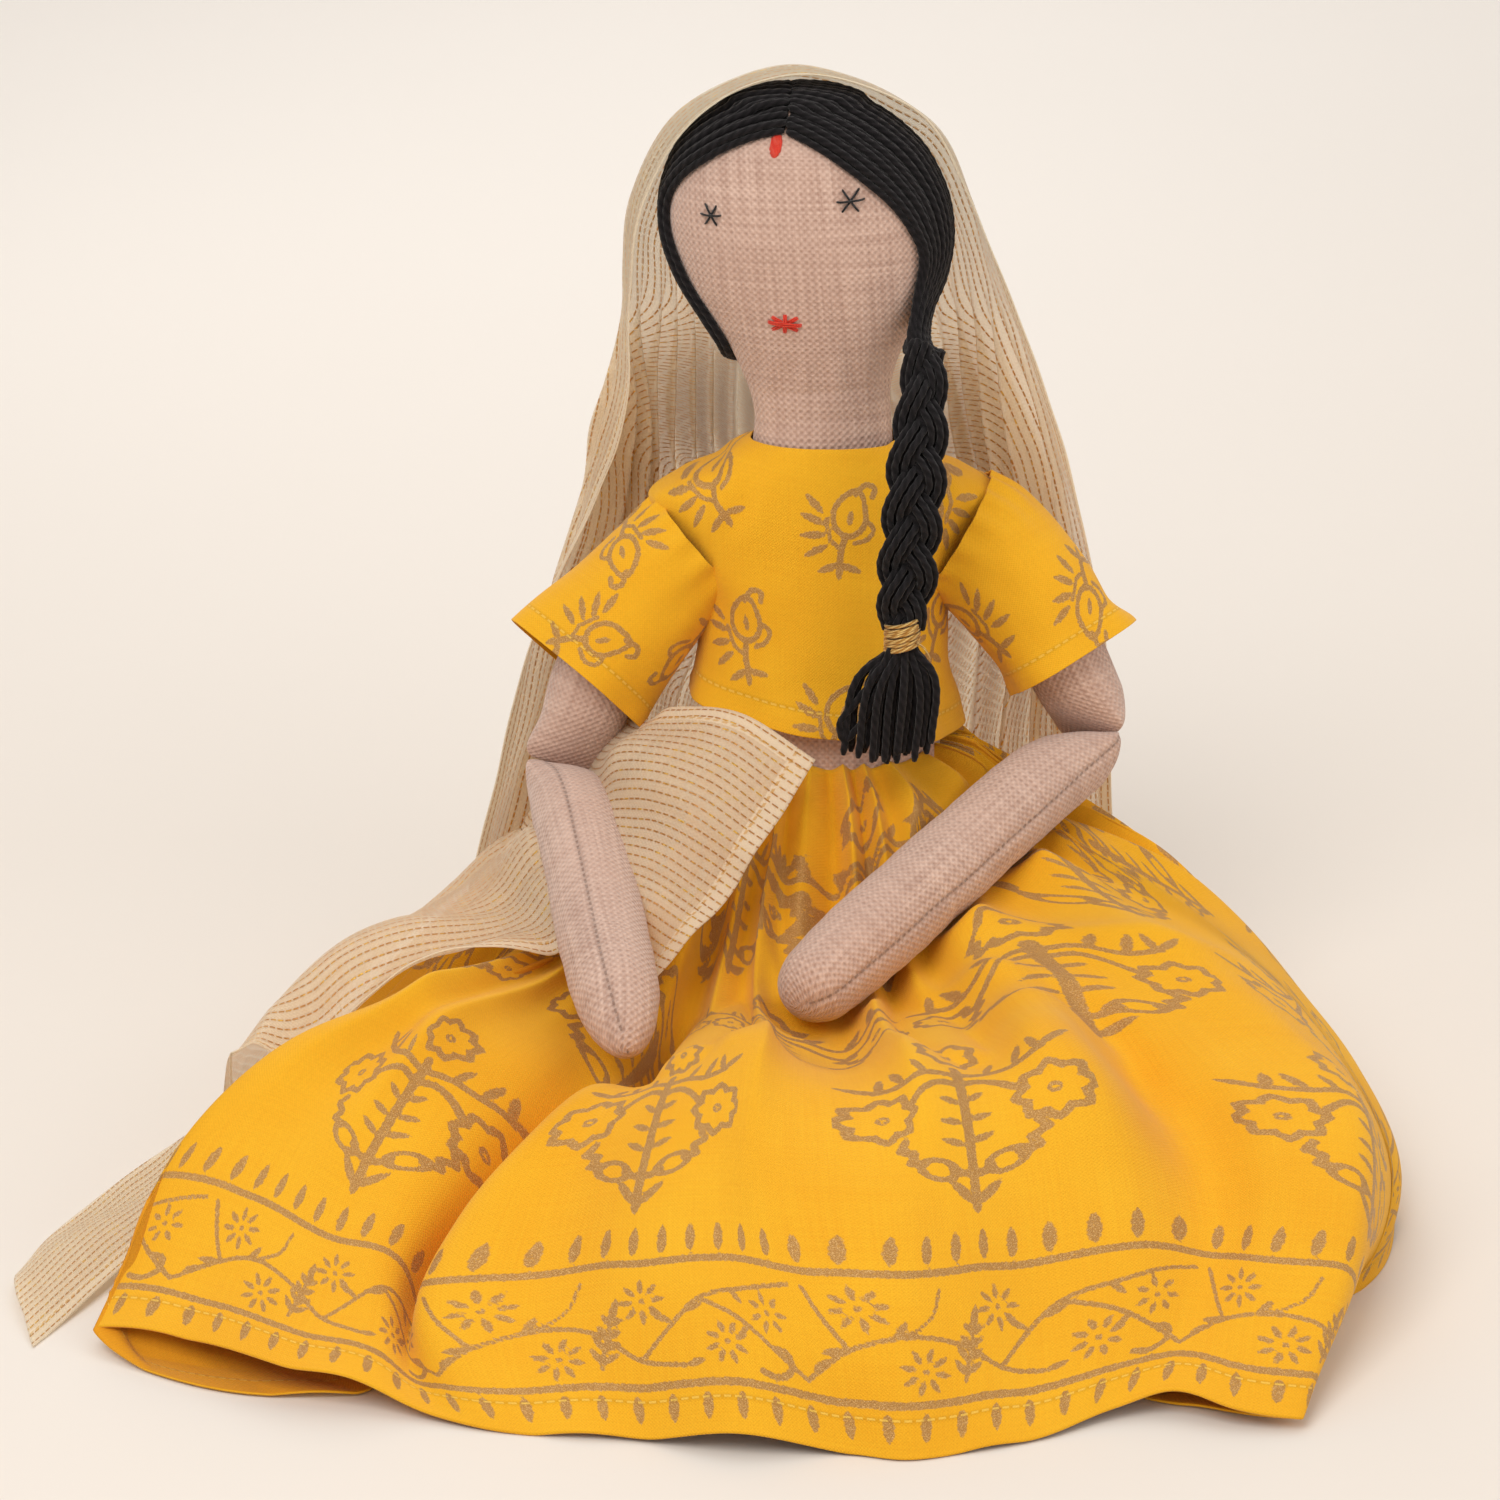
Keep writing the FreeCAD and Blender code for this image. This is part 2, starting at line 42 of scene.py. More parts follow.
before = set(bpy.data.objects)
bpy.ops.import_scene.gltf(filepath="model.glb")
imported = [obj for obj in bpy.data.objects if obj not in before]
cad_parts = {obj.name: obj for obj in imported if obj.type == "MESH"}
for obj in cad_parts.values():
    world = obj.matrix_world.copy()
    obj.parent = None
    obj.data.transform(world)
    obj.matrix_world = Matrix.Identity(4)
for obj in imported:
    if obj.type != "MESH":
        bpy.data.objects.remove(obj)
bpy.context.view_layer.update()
MM = 0.001
TAU = 2 * math.pi


def vec(*values):
    return np.array(values, float)


def unit(v):
    v = np.asarray(v, float)
    return v / np.maximum(np.linalg.norm(v, axis=-1, keepdims=True), 1e-12)


def steps(low, high, x):
    """Smooth rise from 0 at low to 1 at high."""
    t = np.clip((np.asarray(x, float) - low) / (high - low), 0, 1)
    return t * t * (3 - 2 * t)


def spline(knots, values, at):
    """Smooth curve through values at knots, read at any places."""
    knots = np.asarray(knots, float)
    values = np.asarray(values, float)
    flat = values.ndim == 1
    if flat:
        values = values[:, None]
    at = np.clip(np.asarray(at, float), knots[0], knots[-1])
    gaps = np.diff(knots)[:, None]
    slopes = np.diff(values, axis=0) / gaps
    tangents = np.zeros_like(values)
    tangents[1:-1] = (slopes[:-1] * gaps[1:] + slopes[1:] * gaps[:-1]) / (gaps[1:] + gaps[:-1])
    tangents[0], tangents[-1] = slopes[0], slopes[-1]
    k = np.clip(np.searchsorted(knots, at, side="right") - 1, 0, len(knots) - 2)
    h = gaps[k]
    t = (at - knots[k])[..., None] / h
    a, b = values[k], values[k + 1]
    ta, tb = tangents[k] * h, tangents[k + 1] * h
    out = (2 * t**3 - 3 * t**2 + 1) * a + (t**3 - 2 * t**2 + t) * ta
    out = out + (-2 * t**3 + 3 * t**2) * b + (t**3 - t**2) * tb
    return out[..., 0] if flat else out


def path(points, count):
    """Evenly spaced points on a smooth curve through the points."""
    points = np.asarray(points, float)
    knots = np.concatenate([[0], np.cumsum(np.linalg.norm(np.diff(points, axis=0), axis=1))])
    fine = spline(knots, points, np.linspace(0, knots[-1], max(count * 4, 64)))
    run = np.concatenate([[0], np.cumsum(np.linalg.norm(np.diff(fine, axis=0), axis=1))])
    want = np.linspace(0, run[-1], count)
    return np.stack([np.interp(want, run, fine[:, k]) for k in range(3)], axis=1)


def noise(shape_points, seed, scale, octaves=3):
    """Smooth repeatable noise from summed waves, about -1 to 1."""
    rng = np.random.default_rng(seed)
    p = np.asarray(shape_points, float) / scale
    total = np.zeros(p.shape[:-1])
    weight = 0.0
    for octave in range(octaves):
        for _ in range(5):
            direction = unit(rng.normal(size=p.shape[-1])) * (2.0**octave) * rng.uniform(0.7, 1.3)
            total += np.sin(p @ direction * TAU / 2 + rng.uniform(0, TAU)) / 2.0**octave
        weight += 2.2 / 2.0**octave
    return total / weight


# ---- meshes ------------------------------------------------------------------------------


def build(name, points, loops, counts, uv, materials, face_material, attributes):
    """Mesh object from points in mm, the corners of all faces in a row, and uv per corner in mm."""
    mesh = bpy.data.meshes.new(name)
    mesh.vertices.add(len(points))
    mesh.vertices.foreach_set("co", (np.asarray(points, np.float32) * MM).ravel())
    mesh.loops.add(len(loops))
    mesh.loops.foreach_set("vertex_index", loops)
    mesh.polygons.add(len(counts))
    starts = np.concatenate([[0], np.cumsum(counts)[:-1]]).astype(np.int32)
    mesh.polygons.foreach_set("loop_start", starts)
    mesh.polygons.foreach_set("loop_total", counts)
    mesh.polygons.foreach_set("use_smooth", np.ones(len(counts), bool))
    mesh.polygons.foreach_set("material_index", face_material.astype(np.int32))
    mesh.update(calc_edges=True)
    layer = mesh.uv_layers.new(name="cloth")
    layer.data.foreach_set("uv", np.asarray(uv, np.float32).ravel())
    for key, values in attributes.items():
        attribute = mesh.attributes.new(key, "FLOAT", "POINT")
        attribute.data.foreach_set("value", np.asarray(values, np.float32))
    mesh.validate()
    for material in materials:
        mesh.materials.append(material)
    obj = bpy.data.objects.new(name, mesh)
    bpy.context.scene.collection.objects.link(obj)
    return obj


class Pile:
    """Gathers grids into one mesh."""

    def __init__(self):
        self.points, self.loops, self.counts, self.uv, self.slots, self.attributes = [], [], [], [], [], {}
        self.count = 0

    def grid(self, p, u, v, closed=False, caps=(False, False), slot=0, flip=False, **attributes):
        """p is rows x columns x 3. u and v have one more column than p when closed."""
        rows, columns = p.shape[:2]
        index = np.arange(rows * columns).reshape(rows, columns) + self.count
        if closed:
            index = np.concatenate([index, index[:, :1]], axis=1)
        quads = np.stack([index[:-1, :-1], index[:-1, 1:], index[1:, 1:], index[1:, :-1]], axis=-1)
        uv = np.stack([u, v], axis=-1)
        corners = np.stack([uv[:-1, :-1], uv[:-1, 1:], uv[1:, 1:], uv[1:, :-1]], axis=-2)
        quads, corners = quads.reshape(-1, 4), corners.reshape(-1, 4, 2)
        if flip:
            quads, corners = quads[:, ::-1], corners[:, ::-1]
        self.add(quads.ravel(), corners.reshape(-1, 2), np.full(len(quads), 4), slot)
        for end, cap in zip((0, -1), caps):
            if cap:
                ring = index[end, :columns]
                edge = uv[end, :columns]
                if (end == 0) != flip:
                    ring, edge = ring[::-1], edge[::-1]
                self.add(ring, edge, np.array([len(ring)]), slot)
        self.points.append(p.reshape(-1, 3))
        for key, values in attributes.items():
            self.attributes.setdefault(key, []).append(np.broadcast_to(values, (rows, columns)).ravel())
        self.count += rows * columns
        return index

    def add(self, loops, uv, counts, slot):
        self.loops.append(loops.astype(np.int32))
        self.uv.append(uv)
        self.counts.append(counts.astype(np.int32))
        self.slots.append(np.full(len(counts), slot))

    def strip(self, one, other, one_uv, other_uv, slot=0):
        """Faces between two rows of points already in the pile."""
        quads = np.stack([one[:-1], one[1:], other[1:], other[:-1]], axis=-1)
        corners = np.stack([one_uv[:-1], one_uv[1:], other_uv[1:], other_uv[:-1]], axis=-2)
        self.add(quads.ravel(), corners.reshape(-1, 2), np.full(len(quads), 4), slot)

    def make(self, name, materials):
        attributes = {key: np.concatenate(parts) for key, parts in self.attributes.items()}
        loops, counts = np.concatenate(self.loops), np.concatenate(self.counts)
        slots, uv = np.concatenate(self.slots), np.concatenate(self.uv)
        return build(name, np.concatenate(self.points), loops, counts, uv, materials, slots, attributes)


def frames(line):
    """Two directions across a line at each point, turning as little as possible."""
    tangent = unit(np.gradient(line, axis=0))
    side = np.zeros_like(line)
    first = np.cross(tangent[0], vec(0, 0, 1))
    if np.linalg.norm(first) < 0.1:
        first = np.cross(tangent[0], vec(0, 1, 0))
    side[0] = unit(first)
    for k in range(1, len(line)):
        s = side[k - 1] - tangent[k] * (side[k - 1] @ tangent[k])
        side[k] = unit(s)
    return tangent, side, np.cross(tangent, side)


def tube(pile, line, radius, sides=8, ply=0.0, lay=3.2, taper=1.5, slot=0, start=0.0):
    """Round thread or yarn. Ply ridges wind round it once every lay millimetres."""
    line = np.asarray(line, float)
    tangent, side, other = frames(line)
    run = np.concatenate([[0], np.cumsum(np.linalg.norm(np.diff(line, axis=0), axis=1))])
    angle = np.arange(sides) / sides * TAU
    thick = np.full(len(line), float(radius))
    if taper > 0:
        thick = thick * np.clip(np.minimum(run, run[-1] - run) / (radius * taper) + 0.35, 0, 1) ** 0.5
    ridge = 1 + ply * np.cos(3 * angle[None, :] + TAU * (run[:, None] + start) / lay)
    r = thick[:, None] * ridge
    p = line[:, None] + side[:, None] * (r * np.cos(angle))[..., None]
    p = p + other[:, None] * (r * np.sin(angle))[..., None]
    around = np.arange(sides + 1) / sides
    u = np.broadcast_to((run[:, None] + start), (len(line), sides + 1))
    v = np.broadcast_to(around[None, :], (len(line), sides + 1))
    pile.grid(p, u, v, closed=True, caps=(True, True), slot=slot)


# ---- materials ---------------------------------------------------------------------------


def linear(r, g, b):
    out = []
    for c in (r, g, b):
        c = c / 255
        out.append(c / 12.92 if c <= 0.04045 else ((c + 0.055) / 1.055) ** 2.4)
    return (*out, 1.0)


class Graph:
    """Short way to write a material's nodes."""

    def __init__(self, name, rough=0.9, sheen=0.0, sheen_rough=0.5, specular=0.3):
        self.material = bpy.data.materials.new(name)
        self.material.use_nodes = True
        self.tree = self.material.node_tree
        self.shader = self.tree.nodes["Principled BSDF"]
        self.shader.inputs["Roughness"].default_value = rough
        self.shader.inputs["Sheen Weight"].default_value = sheen
        self.shader.inputs["Sheen Roughness"].default_value = sheen_rough
        self.shader.inputs["Specular IOR Level"].default_value = specular
        self.uv = None

    def node(self, kind, **settings):
        n = self.tree.nodes.new(kind)
        for key, value in settings.items():
            setattr(n, key, value)
        return n

    def put(self, socket, value):
        if isinstance(value, bpy.types.NodeSocket):
            self.tree.links.new(value, socket)
        else:
            socket.default_value = value

    def math(self, operation, a, b=0.0, c=0.0, clamp=False):
        n = self.node("ShaderNodeMath", operation=operation, use_clamp=clamp)
        for socket, value in zip(n.inputs, (a, b, c)):
            self.put(socket, value)
        return n.outputs[0]

    def cloth(self):
        """u and v in millimetres."""
        if self.uv is None:
            n = self.node("ShaderNodeUVMap", uv_map="cloth")
            split = self.node("ShaderNodeSeparateXYZ")
            self.tree.links.new(n.outputs[0], split.inputs[0])
            self.uv = (split.outputs[0], split.outputs[1])
        return self.uv

    def join(self, x, y, z=0.0):
        n = self.node("ShaderNodeCombineXYZ")
        for socket, value in zip(n.inputs, (x, y, z)):
            self.put(socket, value)
        return n.outputs[0]

    def noise(self, vector, scale, detail=2.0, rough=0.5):
        n = self.node("ShaderNodeTexNoise")
        self.put(n.inputs["Vector"], vector)
        n.inputs["Scale"].default_value = scale
        n.inputs["Detail"].default_value = detail
        n.inputs["Roughness"].default_value = rough
        return n.outputs["Fac"]

    def range(self, value, low, high, to_low=0.0, to_high=1.0):
        n = self.node("ShaderNodeMapRange", clamp=True)
        for socket, v in zip(n.inputs, (value, low, high, to_low, to_high)):
            self.put(socket, v)
        return n.outputs[0]

    def mix(self, factor, a, b, blend="MIX"):
        n = self.node("ShaderNodeMix", data_type="RGBA", blend_type=blend)
        self.put(n.inputs[0], factor)
        self.put(n.inputs[6], a)
        self.put(n.inputs[7], b)
        return n.outputs[2]

    def attribute(self, name):
        n = self.node("ShaderNodeAttribute", attribute_name=name)
        return n.outputs["Fac"]

    def place(self):
        """Position in the object, in metres."""
        return self.node("ShaderNodeTexCoord").outputs["Object"]

    def see_through(self, color, part, open_part):
        """Thin cloth that lets part of the light through, some of it straight between the threads."""
        glow = self.node("ShaderNodeBsdfTranslucent")
        self.put(glow.inputs["Color"], color)
        both = self.node("ShaderNodeMixShader")
        both.inputs[0].default_value = part
        self.put(both.inputs[1], self.shader.outputs[0])
        self.put(both.inputs[2], glow.outputs[0])
        sheer = self.node("ShaderNodeMixShader")
        self.put(sheer.inputs[0], open_part)
        self.put(sheer.inputs[1], both.outputs[0])
        self.put(sheer.inputs[2], self.node("ShaderNodeBsdfTransparent").outputs[0])
        self.put(self.tree.nodes["Material Output"].inputs["Surface"], sheer.outputs[0])

    def color(self, value):
        self.put(self.shader.inputs["Base Color"], value)

    def bump(self, height, depth, strength=1.0):
        n = self.node("ShaderNodeBump")
        n.inputs["Strength"].default_value = strength
        n.inputs["Distance"].default_value = depth * MM
        self.put(n.inputs["Height"], height)
        self.put(self.shader.inputs["Normal"], n.outputs[0])

    def weave(self, pitch_u, pitch_v, wander=0.25):
        """Plain weave height, 0 to 1, with threads that wander a little."""
        u, v = self.cloth()
        drift = self.noise(self.join(u, v), 0.12, 2.0)
        push = self.math("MULTIPLY_ADD", drift, wander * 4, -wander * 2)
        a = self.math("SINE", self.math("MULTIPLY", self.math("ADD", u, push), math.pi / pitch_u))
        b = self.math("SINE", self.math("MULTIPLY", self.math("ADD", v, push), math.pi / pitch_v))
        return self.math("MULTIPLY_ADD", self.math("MULTIPLY", a, b), 0.5, 0.5)

    def threads(self, pitch_u, pitch_v):
        """How light each thread is, one noise along the warp and one along the weft."""
        u, v = self.cloth()
        warp = self.join(self.math("DIVIDE", u, pitch_u), self.math("MULTIPLY", v, 0.03))
        weft = self.join(self.math("MULTIPLY", u, 0.03), self.math("DIVIDE", v, pitch_v), 7.0)
        return self.noise(warp, 1.0, 1.0), self.noise(weft, 1.0, 1.0)


def linen_material(name, base, light, dark):
    g = Graph(name, rough=0.92, sheen=0.35, sheen_rough=0.6, specular=0.2)
    weave = g.weave(1.02, 0.98)
    warp, weft = g.threads(1.02, 0.98)
    both = g.math("ADD", warp, weft)
    fibre = g.noise(g.place(), 2600.0, 2.0)
    tone = g.math("MULTIPLY_ADD", fibre, 0.35, g.math("MULTIPLY", both, 0.8))
    # Painted shade: the weave height lightens the raised threads and darkens the hollows between them; the
    # thread and fibre noise is random tone.
    tone = g.math("MULTIPLY_ADD", weave, 0.38, tone)
    color = g.mix(g.range(tone, 0.85, 1.55), linear(*dark), linear(*light))
    patches = g.noise(g.place(), 28.0, 2.0)
    color = g.mix(g.range(patches, 0.35, 0.7, 0.0, 0.35), color, linear(*base))
    seam = g.attribute("seam")
    u, v = g.cloth()
    dash = g.math("LESS_THAN", g.math("FRACT", g.math("DIVIDE", v, 2.3)), 0.62)
    thread = g.math("MULTIPLY", g.math("LESS_THAN", seam, 0.32), dash)
    # Painted shade: the cloth darkens along the groove that the seam pulls in; the stitching thread keeps its
    # own colour.
    groove = g.range(seam, 0.0, 1.3, 0.3, 0.0)
    color = g.mix(groove, color, linear(*[c * 0.72 for c in dark]))
    color = g.mix(g.math("MULTIPLY", thread, 0.6), color, linear(128, 98, 84))
    g.color(color)
    height = g.math("MULTIPLY_ADD", weave, 0.8, g.math("MULTIPLY", both, 0.5))
    height = g.math("MULTIPLY_ADD", fibre, 0.25, height)
    height = g.math("MULTIPLY_ADD", thread, 0.6, height)
    g.bump(height, 0.42, 0.9)
    return g.material


def yarn_material(name, dark, light, rough=0.85, sheen=0.25):
    g = Graph(name, rough=rough, sheen=sheen, sheen_rough=0.45, specular=0.25)
    u, v = g.cloth()
    phase = g.math("MULTIPLY_ADD", u, TAU / 3.2, g.math("MULTIPLY", v, TAU * 3))
    ply = g.math("MULTIPLY_ADD", g.math("COSINE", phase), 0.5, 0.5)
    fibre = g.noise(g.join(g.math("MULTIPLY", u, 0.5), g.math("MULTIPLY", v, 30.0)), 1.6, 3.0)
    fuzz = g.noise(g.place(), 3200.0, 2.0)
    # Painted highlight and shade: colour follows the ply twist, light on each ply's crest and dark in the
    # grooves between plies; the fibre noise is random tone.
    tone = g.math("MULTIPLY_ADD", ply, 0.5, g.math("MULTIPLY", fibre, 0.6))
    g.color(g.mix(g.range(tone, 0.35, 1.0), linear(*dark), linear(*light)))
    g.bump(g.math("ADD", tone, g.math("MULTIPLY", fuzz, 0.5)), 0.3, 0.8)
    return g.material


LINEN = linen_material("linen", (208, 173, 156), (225, 194, 177), (176, 141, 125))
YARN = yarn_material("black_yarn", (12, 10, 12), (34, 30, 33), 0.92, 0.12)
BLACK_THREAD = yarn_material("black_thread", (16, 15, 17), (50, 47, 48), 0.6)
RED_THREAD = yarn_material("red_thread", (214, 40, 24), (250, 92, 62), 0.5)
# The gold's light colour is the painted highlight on the ply crests.
GOLD = yarn_material("gold_thread", (176, 124, 52), (255, 228, 150), 0.36)
GOLD.node_tree.nodes["Principled BSDF"].inputs["Metallic"].default_value = 0.6

# ---- stuffed linen body ------------------------------------------------------------------

LEAN = 0.07  # the trunk leans back by this much of its height
NO_SEAM = 50.0  # stands for a point far from any seam

TORSO = np.array([
    (0, 0, 30, 20), (4, 0, 33.5, 23.5), (14, 0, 35, 25.5), (40, 0, 35, 26), (70, 0, 33.6, 24.4),
    (100, 0, 31, 22), (128, 0, 29.5, 20), (145, -0.5, 29.5, 18), (156, -0.5, 25.5, 16),
    (164, -0.8, 19, 14), (169, -1, 13, 10),
], float)
HEAD = np.array([
    (158, 19.5, 13.4), (165, 18.7, 12.8), (172, 18.2, 13.0), (179, 18.8, 14), (185, 20.6, 15.6),
    (190, 22.6, 17.2), (198, 27, 19.5), (210, 33, 22.5), (222, 35.5, 24), (234, 33.5, 23),
    (244, 27.5, 20), (251, 18.5, 14.5), (255.5, 9, 7.5), (256.6, 0.5, 0.5),
], float)


def head_axis(z):
    z = np.asarray(z, float)
    return -0.9 - 0.09 * np.maximum(z - 172.5, 0), LEAN * z


def ring_lengths(p):
    """Signed run along each closed ring from its middle column, with one more column."""
    around = np.concatenate([p, p[:, :1]], axis=1)
    run = np.linalg.norm(np.diff(around, axis=1), axis=2)
    run = np.concatenate([np.zeros((len(p), 1)), np.cumsum(run, axis=1)], axis=1)
    return run - run[:, [run.shape[1] // 2]]


def row_lengths(p):
    """Mean run from the first ring to each ring."""
    run = np.linalg.norm(np.diff(p, axis=0), axis=2).mean(axis=1)
    return np.concatenate([[0], np.cumsum(run)])


def oval_grid(z, mid_x, mid_y, a, b, columns, power=1.0):
    """Rings seen from above, front in the middle column."""
    theta = (np.arange(columns) / columns - 0.5) * TAU
    s, c = np.sin(theta), np.cos(theta)
    s = np.sign(s) * np.abs(s) ** power
    c = np.sign(c) * np.abs(c) ** power
    x = mid_x[:, None] + a[:, None] * s
    y = mid_y[:, None] - b[:, None] * c
    return np.stack([x, y, np.broadcast_to(z[:, None], x.shape)], axis=-1)


def swell(p, seed, scale, amount):
    """Push a closed grid in and out a little, as filling does."""
    middle = p.mean(axis=1, keepdims=True)
    return p + unit(p - middle) * (noise(p, seed, scale) * amount)[..., None]


def attach(obj, body, slot, *nodes):
    """The piece moves with one body and stands for CAD nodes."""
    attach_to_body(obj, body)
    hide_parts(*nodes)


def padded(obj, body, fill, *nodes):
    attach(obj, body, "linen", *nodes)


def make_torso():
    z = np.arange(0, 160.1, 2.0)
    mid_x, a, b = spline(TORSO[:, 0], TORSO[:, 1:], z).T
    p = swell(oval_grid(z, mid_x, LEAN * z, a, b, 96), 3, 22, 0.5)
    u = ring_lengths(p)
    v = np.broadcast_to(row_lengths(p)[:, None], u.shape)
    pile = Pile()
    pile.grid(p, u, v, closed=True, caps=(True, True), seam=NO_SEAM)
    padded(pile.make("torso", [LINEN]), "torso", 0.8, "torso_skin", "torso_filling")


def head_rows(z):
    mid_x, mid_y = head_axis(z)
    a, b = spline(HEAD[:, 0], HEAD[:, 1:], z).T
    return mid_x, mid_y, a, b


def head_face(x, z, lift=0.0):
    """Point on the front of the head."""
    z = np.asarray(z, float)
    mid_x, mid_y, a, b = head_rows(z)
    reach = np.clip((x - mid_x) / a, -0.985, 0.985)
    return np.stack([x + 0 * z, mid_y - b * np.sqrt(1 - reach**2) - lift, z], axis=-1)


def make_head():
    z = np.concatenate([np.arange(159, 248, 1.0), 248 + 8.6 * np.sin(np.linspace(0, 1, 16) * math.pi / 2)])
    p = oval_grid(z, *head_rows(z), 160)
    p = swell(p, 11, 26, 0.45)
    front = np.clip((p[:, :, 1].mean(axis=1, keepdims=True) - p[:, :, 1]) / 15, 0, 1)
    pull = np.exp(-((p[..., 2] - 186) / 7) ** 2)
    tucks = np.cos(p[..., 0] * 0.75 + 0.06 * (p[..., 2] - 186) * p[..., 0] / 6 + 1.2)
    p[..., 1] += front * pull * (0.35 * tucks + 0.25)
    for row, depth in ((181.5, 0.5), (174.0, 0.35)):
        line = row + 0.05 * p[..., 0] - 0.004 * p[..., 0] ** 2
        p[..., 1] += depth * front * np.exp(-((p[..., 2] - line) / 1.3) ** 2)
    u = ring_lengths(p)
    v = np.broadcast_to(row_lengths(p)[:, None], u.shape)
    pile = Pile()
    pile.grid(p, u, v, closed=True, caps=(True, True), seam=NO_SEAM)
    obj = pile.make("head", [LINEN])
    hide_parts("head_skin", "head_filling")
    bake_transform(obj, "torso", "head", start=(0, 0.0116, 0.167), end=(0, 0.0126, 0.183))


def limb(name, body, start, end, hinge, radius, crease_start, crease_end, seam_angle, nodes, seed,
         taper=(0.95, 0.95)):
    """Stuffed tube. Creased ends are sewn flat along the hinge line, other ends are round."""
    start, end, hinge = vec(*start), vec(*end), unit(vec(*hinge))
    along = unit(end - start)
    inward = unit(np.cross(hinge, along))
    hinge = np.cross(along, inward)
    length = np.linalg.norm(end - start)
    t = np.linspace(0, 1, int(length / 0.8))
    t = (0.6 * t + 0.4 * (1 - np.cos(math.pi * t)) / 2) * length
    t[0], t[-1] = 0.004, length - 0.004
    ease = lambda d, reach: np.sqrt(np.clip(1 - (1 - np.clip(d / reach, 0, 1)) ** 2, 0, 1))
    width = np.full(len(t), radius * 1.0)
    near = np.full(len(t), radius * 1.0)
    far = np.full(len(t), radius * 1.0)
    for creased, d, reach in ((crease_start, t, taper[0]), (crease_end, length - t, taper[1])):
        if creased:
            side = 1 - np.exp(-d / 1.1)
            near = np.minimum(near, 0.35 + radius * np.tanh(d * math.tan(math.radians(36)) / radius))
            far = np.minimum(far, 0.35 + radius * ease(d, radius * 1.15))
            width = width * (1 + 0.07 * np.exp(-((d - 2) / 6) ** 2)) * (0.8 + 0.2 * side)
        else:
            cap = ease(d, radius * 0.95) * (1 - 0.55 * (reach - 0.95) * np.exp(-(d / (radius * 1.4)) ** 2))
            near, far, width = near * cap, far * cap, width * cap
    columns = 96
    theta = (np.arange(columns) / columns - 0.5) * TAU
    s, c = np.sin(theta), np.cos(theta)
    depth = np.where(c[None] > 0, near[:, None], far[:, None]) * c[None]
    p = start + along * t[:, None, None] + hinge * (width[:, None] * s)[..., None]
    p = p + inward * depth[..., None]
    p = swell(p, seed, 16, 0.45)
    u = ring_lengths(p)
    v = np.broadcast_to(row_lengths(p)[:, None], u.shape)
    where = u[:, :-1] - u[:, [int((seam_angle / 360 + 0.5) * columns) % columns]]
    span = u[:, -1:] - u[:, :1]
    seam = np.abs((where + span / 2) % span - span / 2) + 20 * (1 - steps(8, 30, span))
    middle = p.mean(axis=1, keepdims=True)
    dash = 0.5 + 0.5 * np.cos(TAU * v[:, :-1] / 2.3)
    groove = np.exp(-((seam / 0.8) ** 2)) * (0.3 + 0.2 * dash)
    p = p - unit(p - middle) * groove[..., None]
    pile = Pile()
    pile.grid(p, u, v, closed=True, caps=(True, True), seam=seam)
    padded(pile.make(name, [LINEN]), body, 0.85, *nodes)


ARM = 11.5
LEG = 11.8
RIGHT_SHOULDER, RIGHT_ELBOW, RIGHT_HAND = (-45.5, 8, 148), (-69.5, -4.5, 79), (-49.5, -119, 47)
LEFT_SHOULDER, LEFT_ELBOW, LEFT_HAND = (46, 8.5, 152), (72.5, 0, 86.5), (-9.5, -88.5, 46)
RIGHT_CREASE, LEFT_CREASE = (-0.915, -0.249, 0.317), (-0.618, 0.706, -0.345)


def make_limbs():
    for side, shoulder, elbow, hand, crease, angle, narrow in (
        ("right", RIGHT_SHOULDER, RIGHT_ELBOW, RIGHT_HAND, RIGHT_CREASE, 38, 1.75),
        ("left", LEFT_SHOULDER, LEFT_ELBOW, LEFT_HAND, LEFT_CREASE, -95, 1.15),
    ):
        shoulder, elbow, hand = vec(*shoulder), vec(*elbow), vec(*hand)
        top = shoulder + unit(elbow - shoulder) * ARM * 0.3
        body = f"{side}_upper_arm"
        limb(body, body, top, elbow, crease, ARM, False, True, 180,
             (f"{body}_skin", f"{body}_filling"), 21, (2.1, 0.95))
        body = f"{side}_forearm"
        limb(body, body, elbow, hand, crease, ARM, True, False, angle,
             (f"{body}_skin", f"{body}_filling"), 22, (0.95, narrow))
    for side, s, toe in (("right", -1, (-23, -214, 11.4)), ("left", 1, (14, -207, 12.4))):
        hip, knee = vec(s * 18, -27.5, 13), vec(s * 30, -137, 43)
        body = f"{side}_thigh"
        limb(body, body, hip, knee, (1, 0, 0), LEG, False, True, 90,
             (f"{body}_skin", f"{body}_filling"), 23)
        body = f"{side}_shin"
        limb(body, body, knee, toe, (1, 0, 0), LEG, True, False, 90,
             (f"{body}_skin", f"{body}_filling"), 24)


# ---- face --------------------------------------------------------------------------------


def face_stitch(pile, x, z, angle, length, radius, arch=0.5, strands=1, spread=0.5):
    """Straight stitch that goes into the cloth at both ends."""
    turn = math.radians(angle)
    c, s = math.cos(turn), math.sin(turn)
    t = np.linspace(-1, 1, 15)
    for k in range(strands):
        off = (k - (strands - 1) / 2) * spread * radius * 2
        bow = off * (1 - 0.35 * t**2)
        px = x + c * t * length / 2 - s * bow
        pz = z + s * t * length / 2 + c * bow
        lift = -0.5 + (arch + radius + 0.5) * (1 - np.abs(t) ** 5)
        tube(pile, head_face(px, pz, lift), radius, 8, ply=0.05, lay=1.1, taper=0)


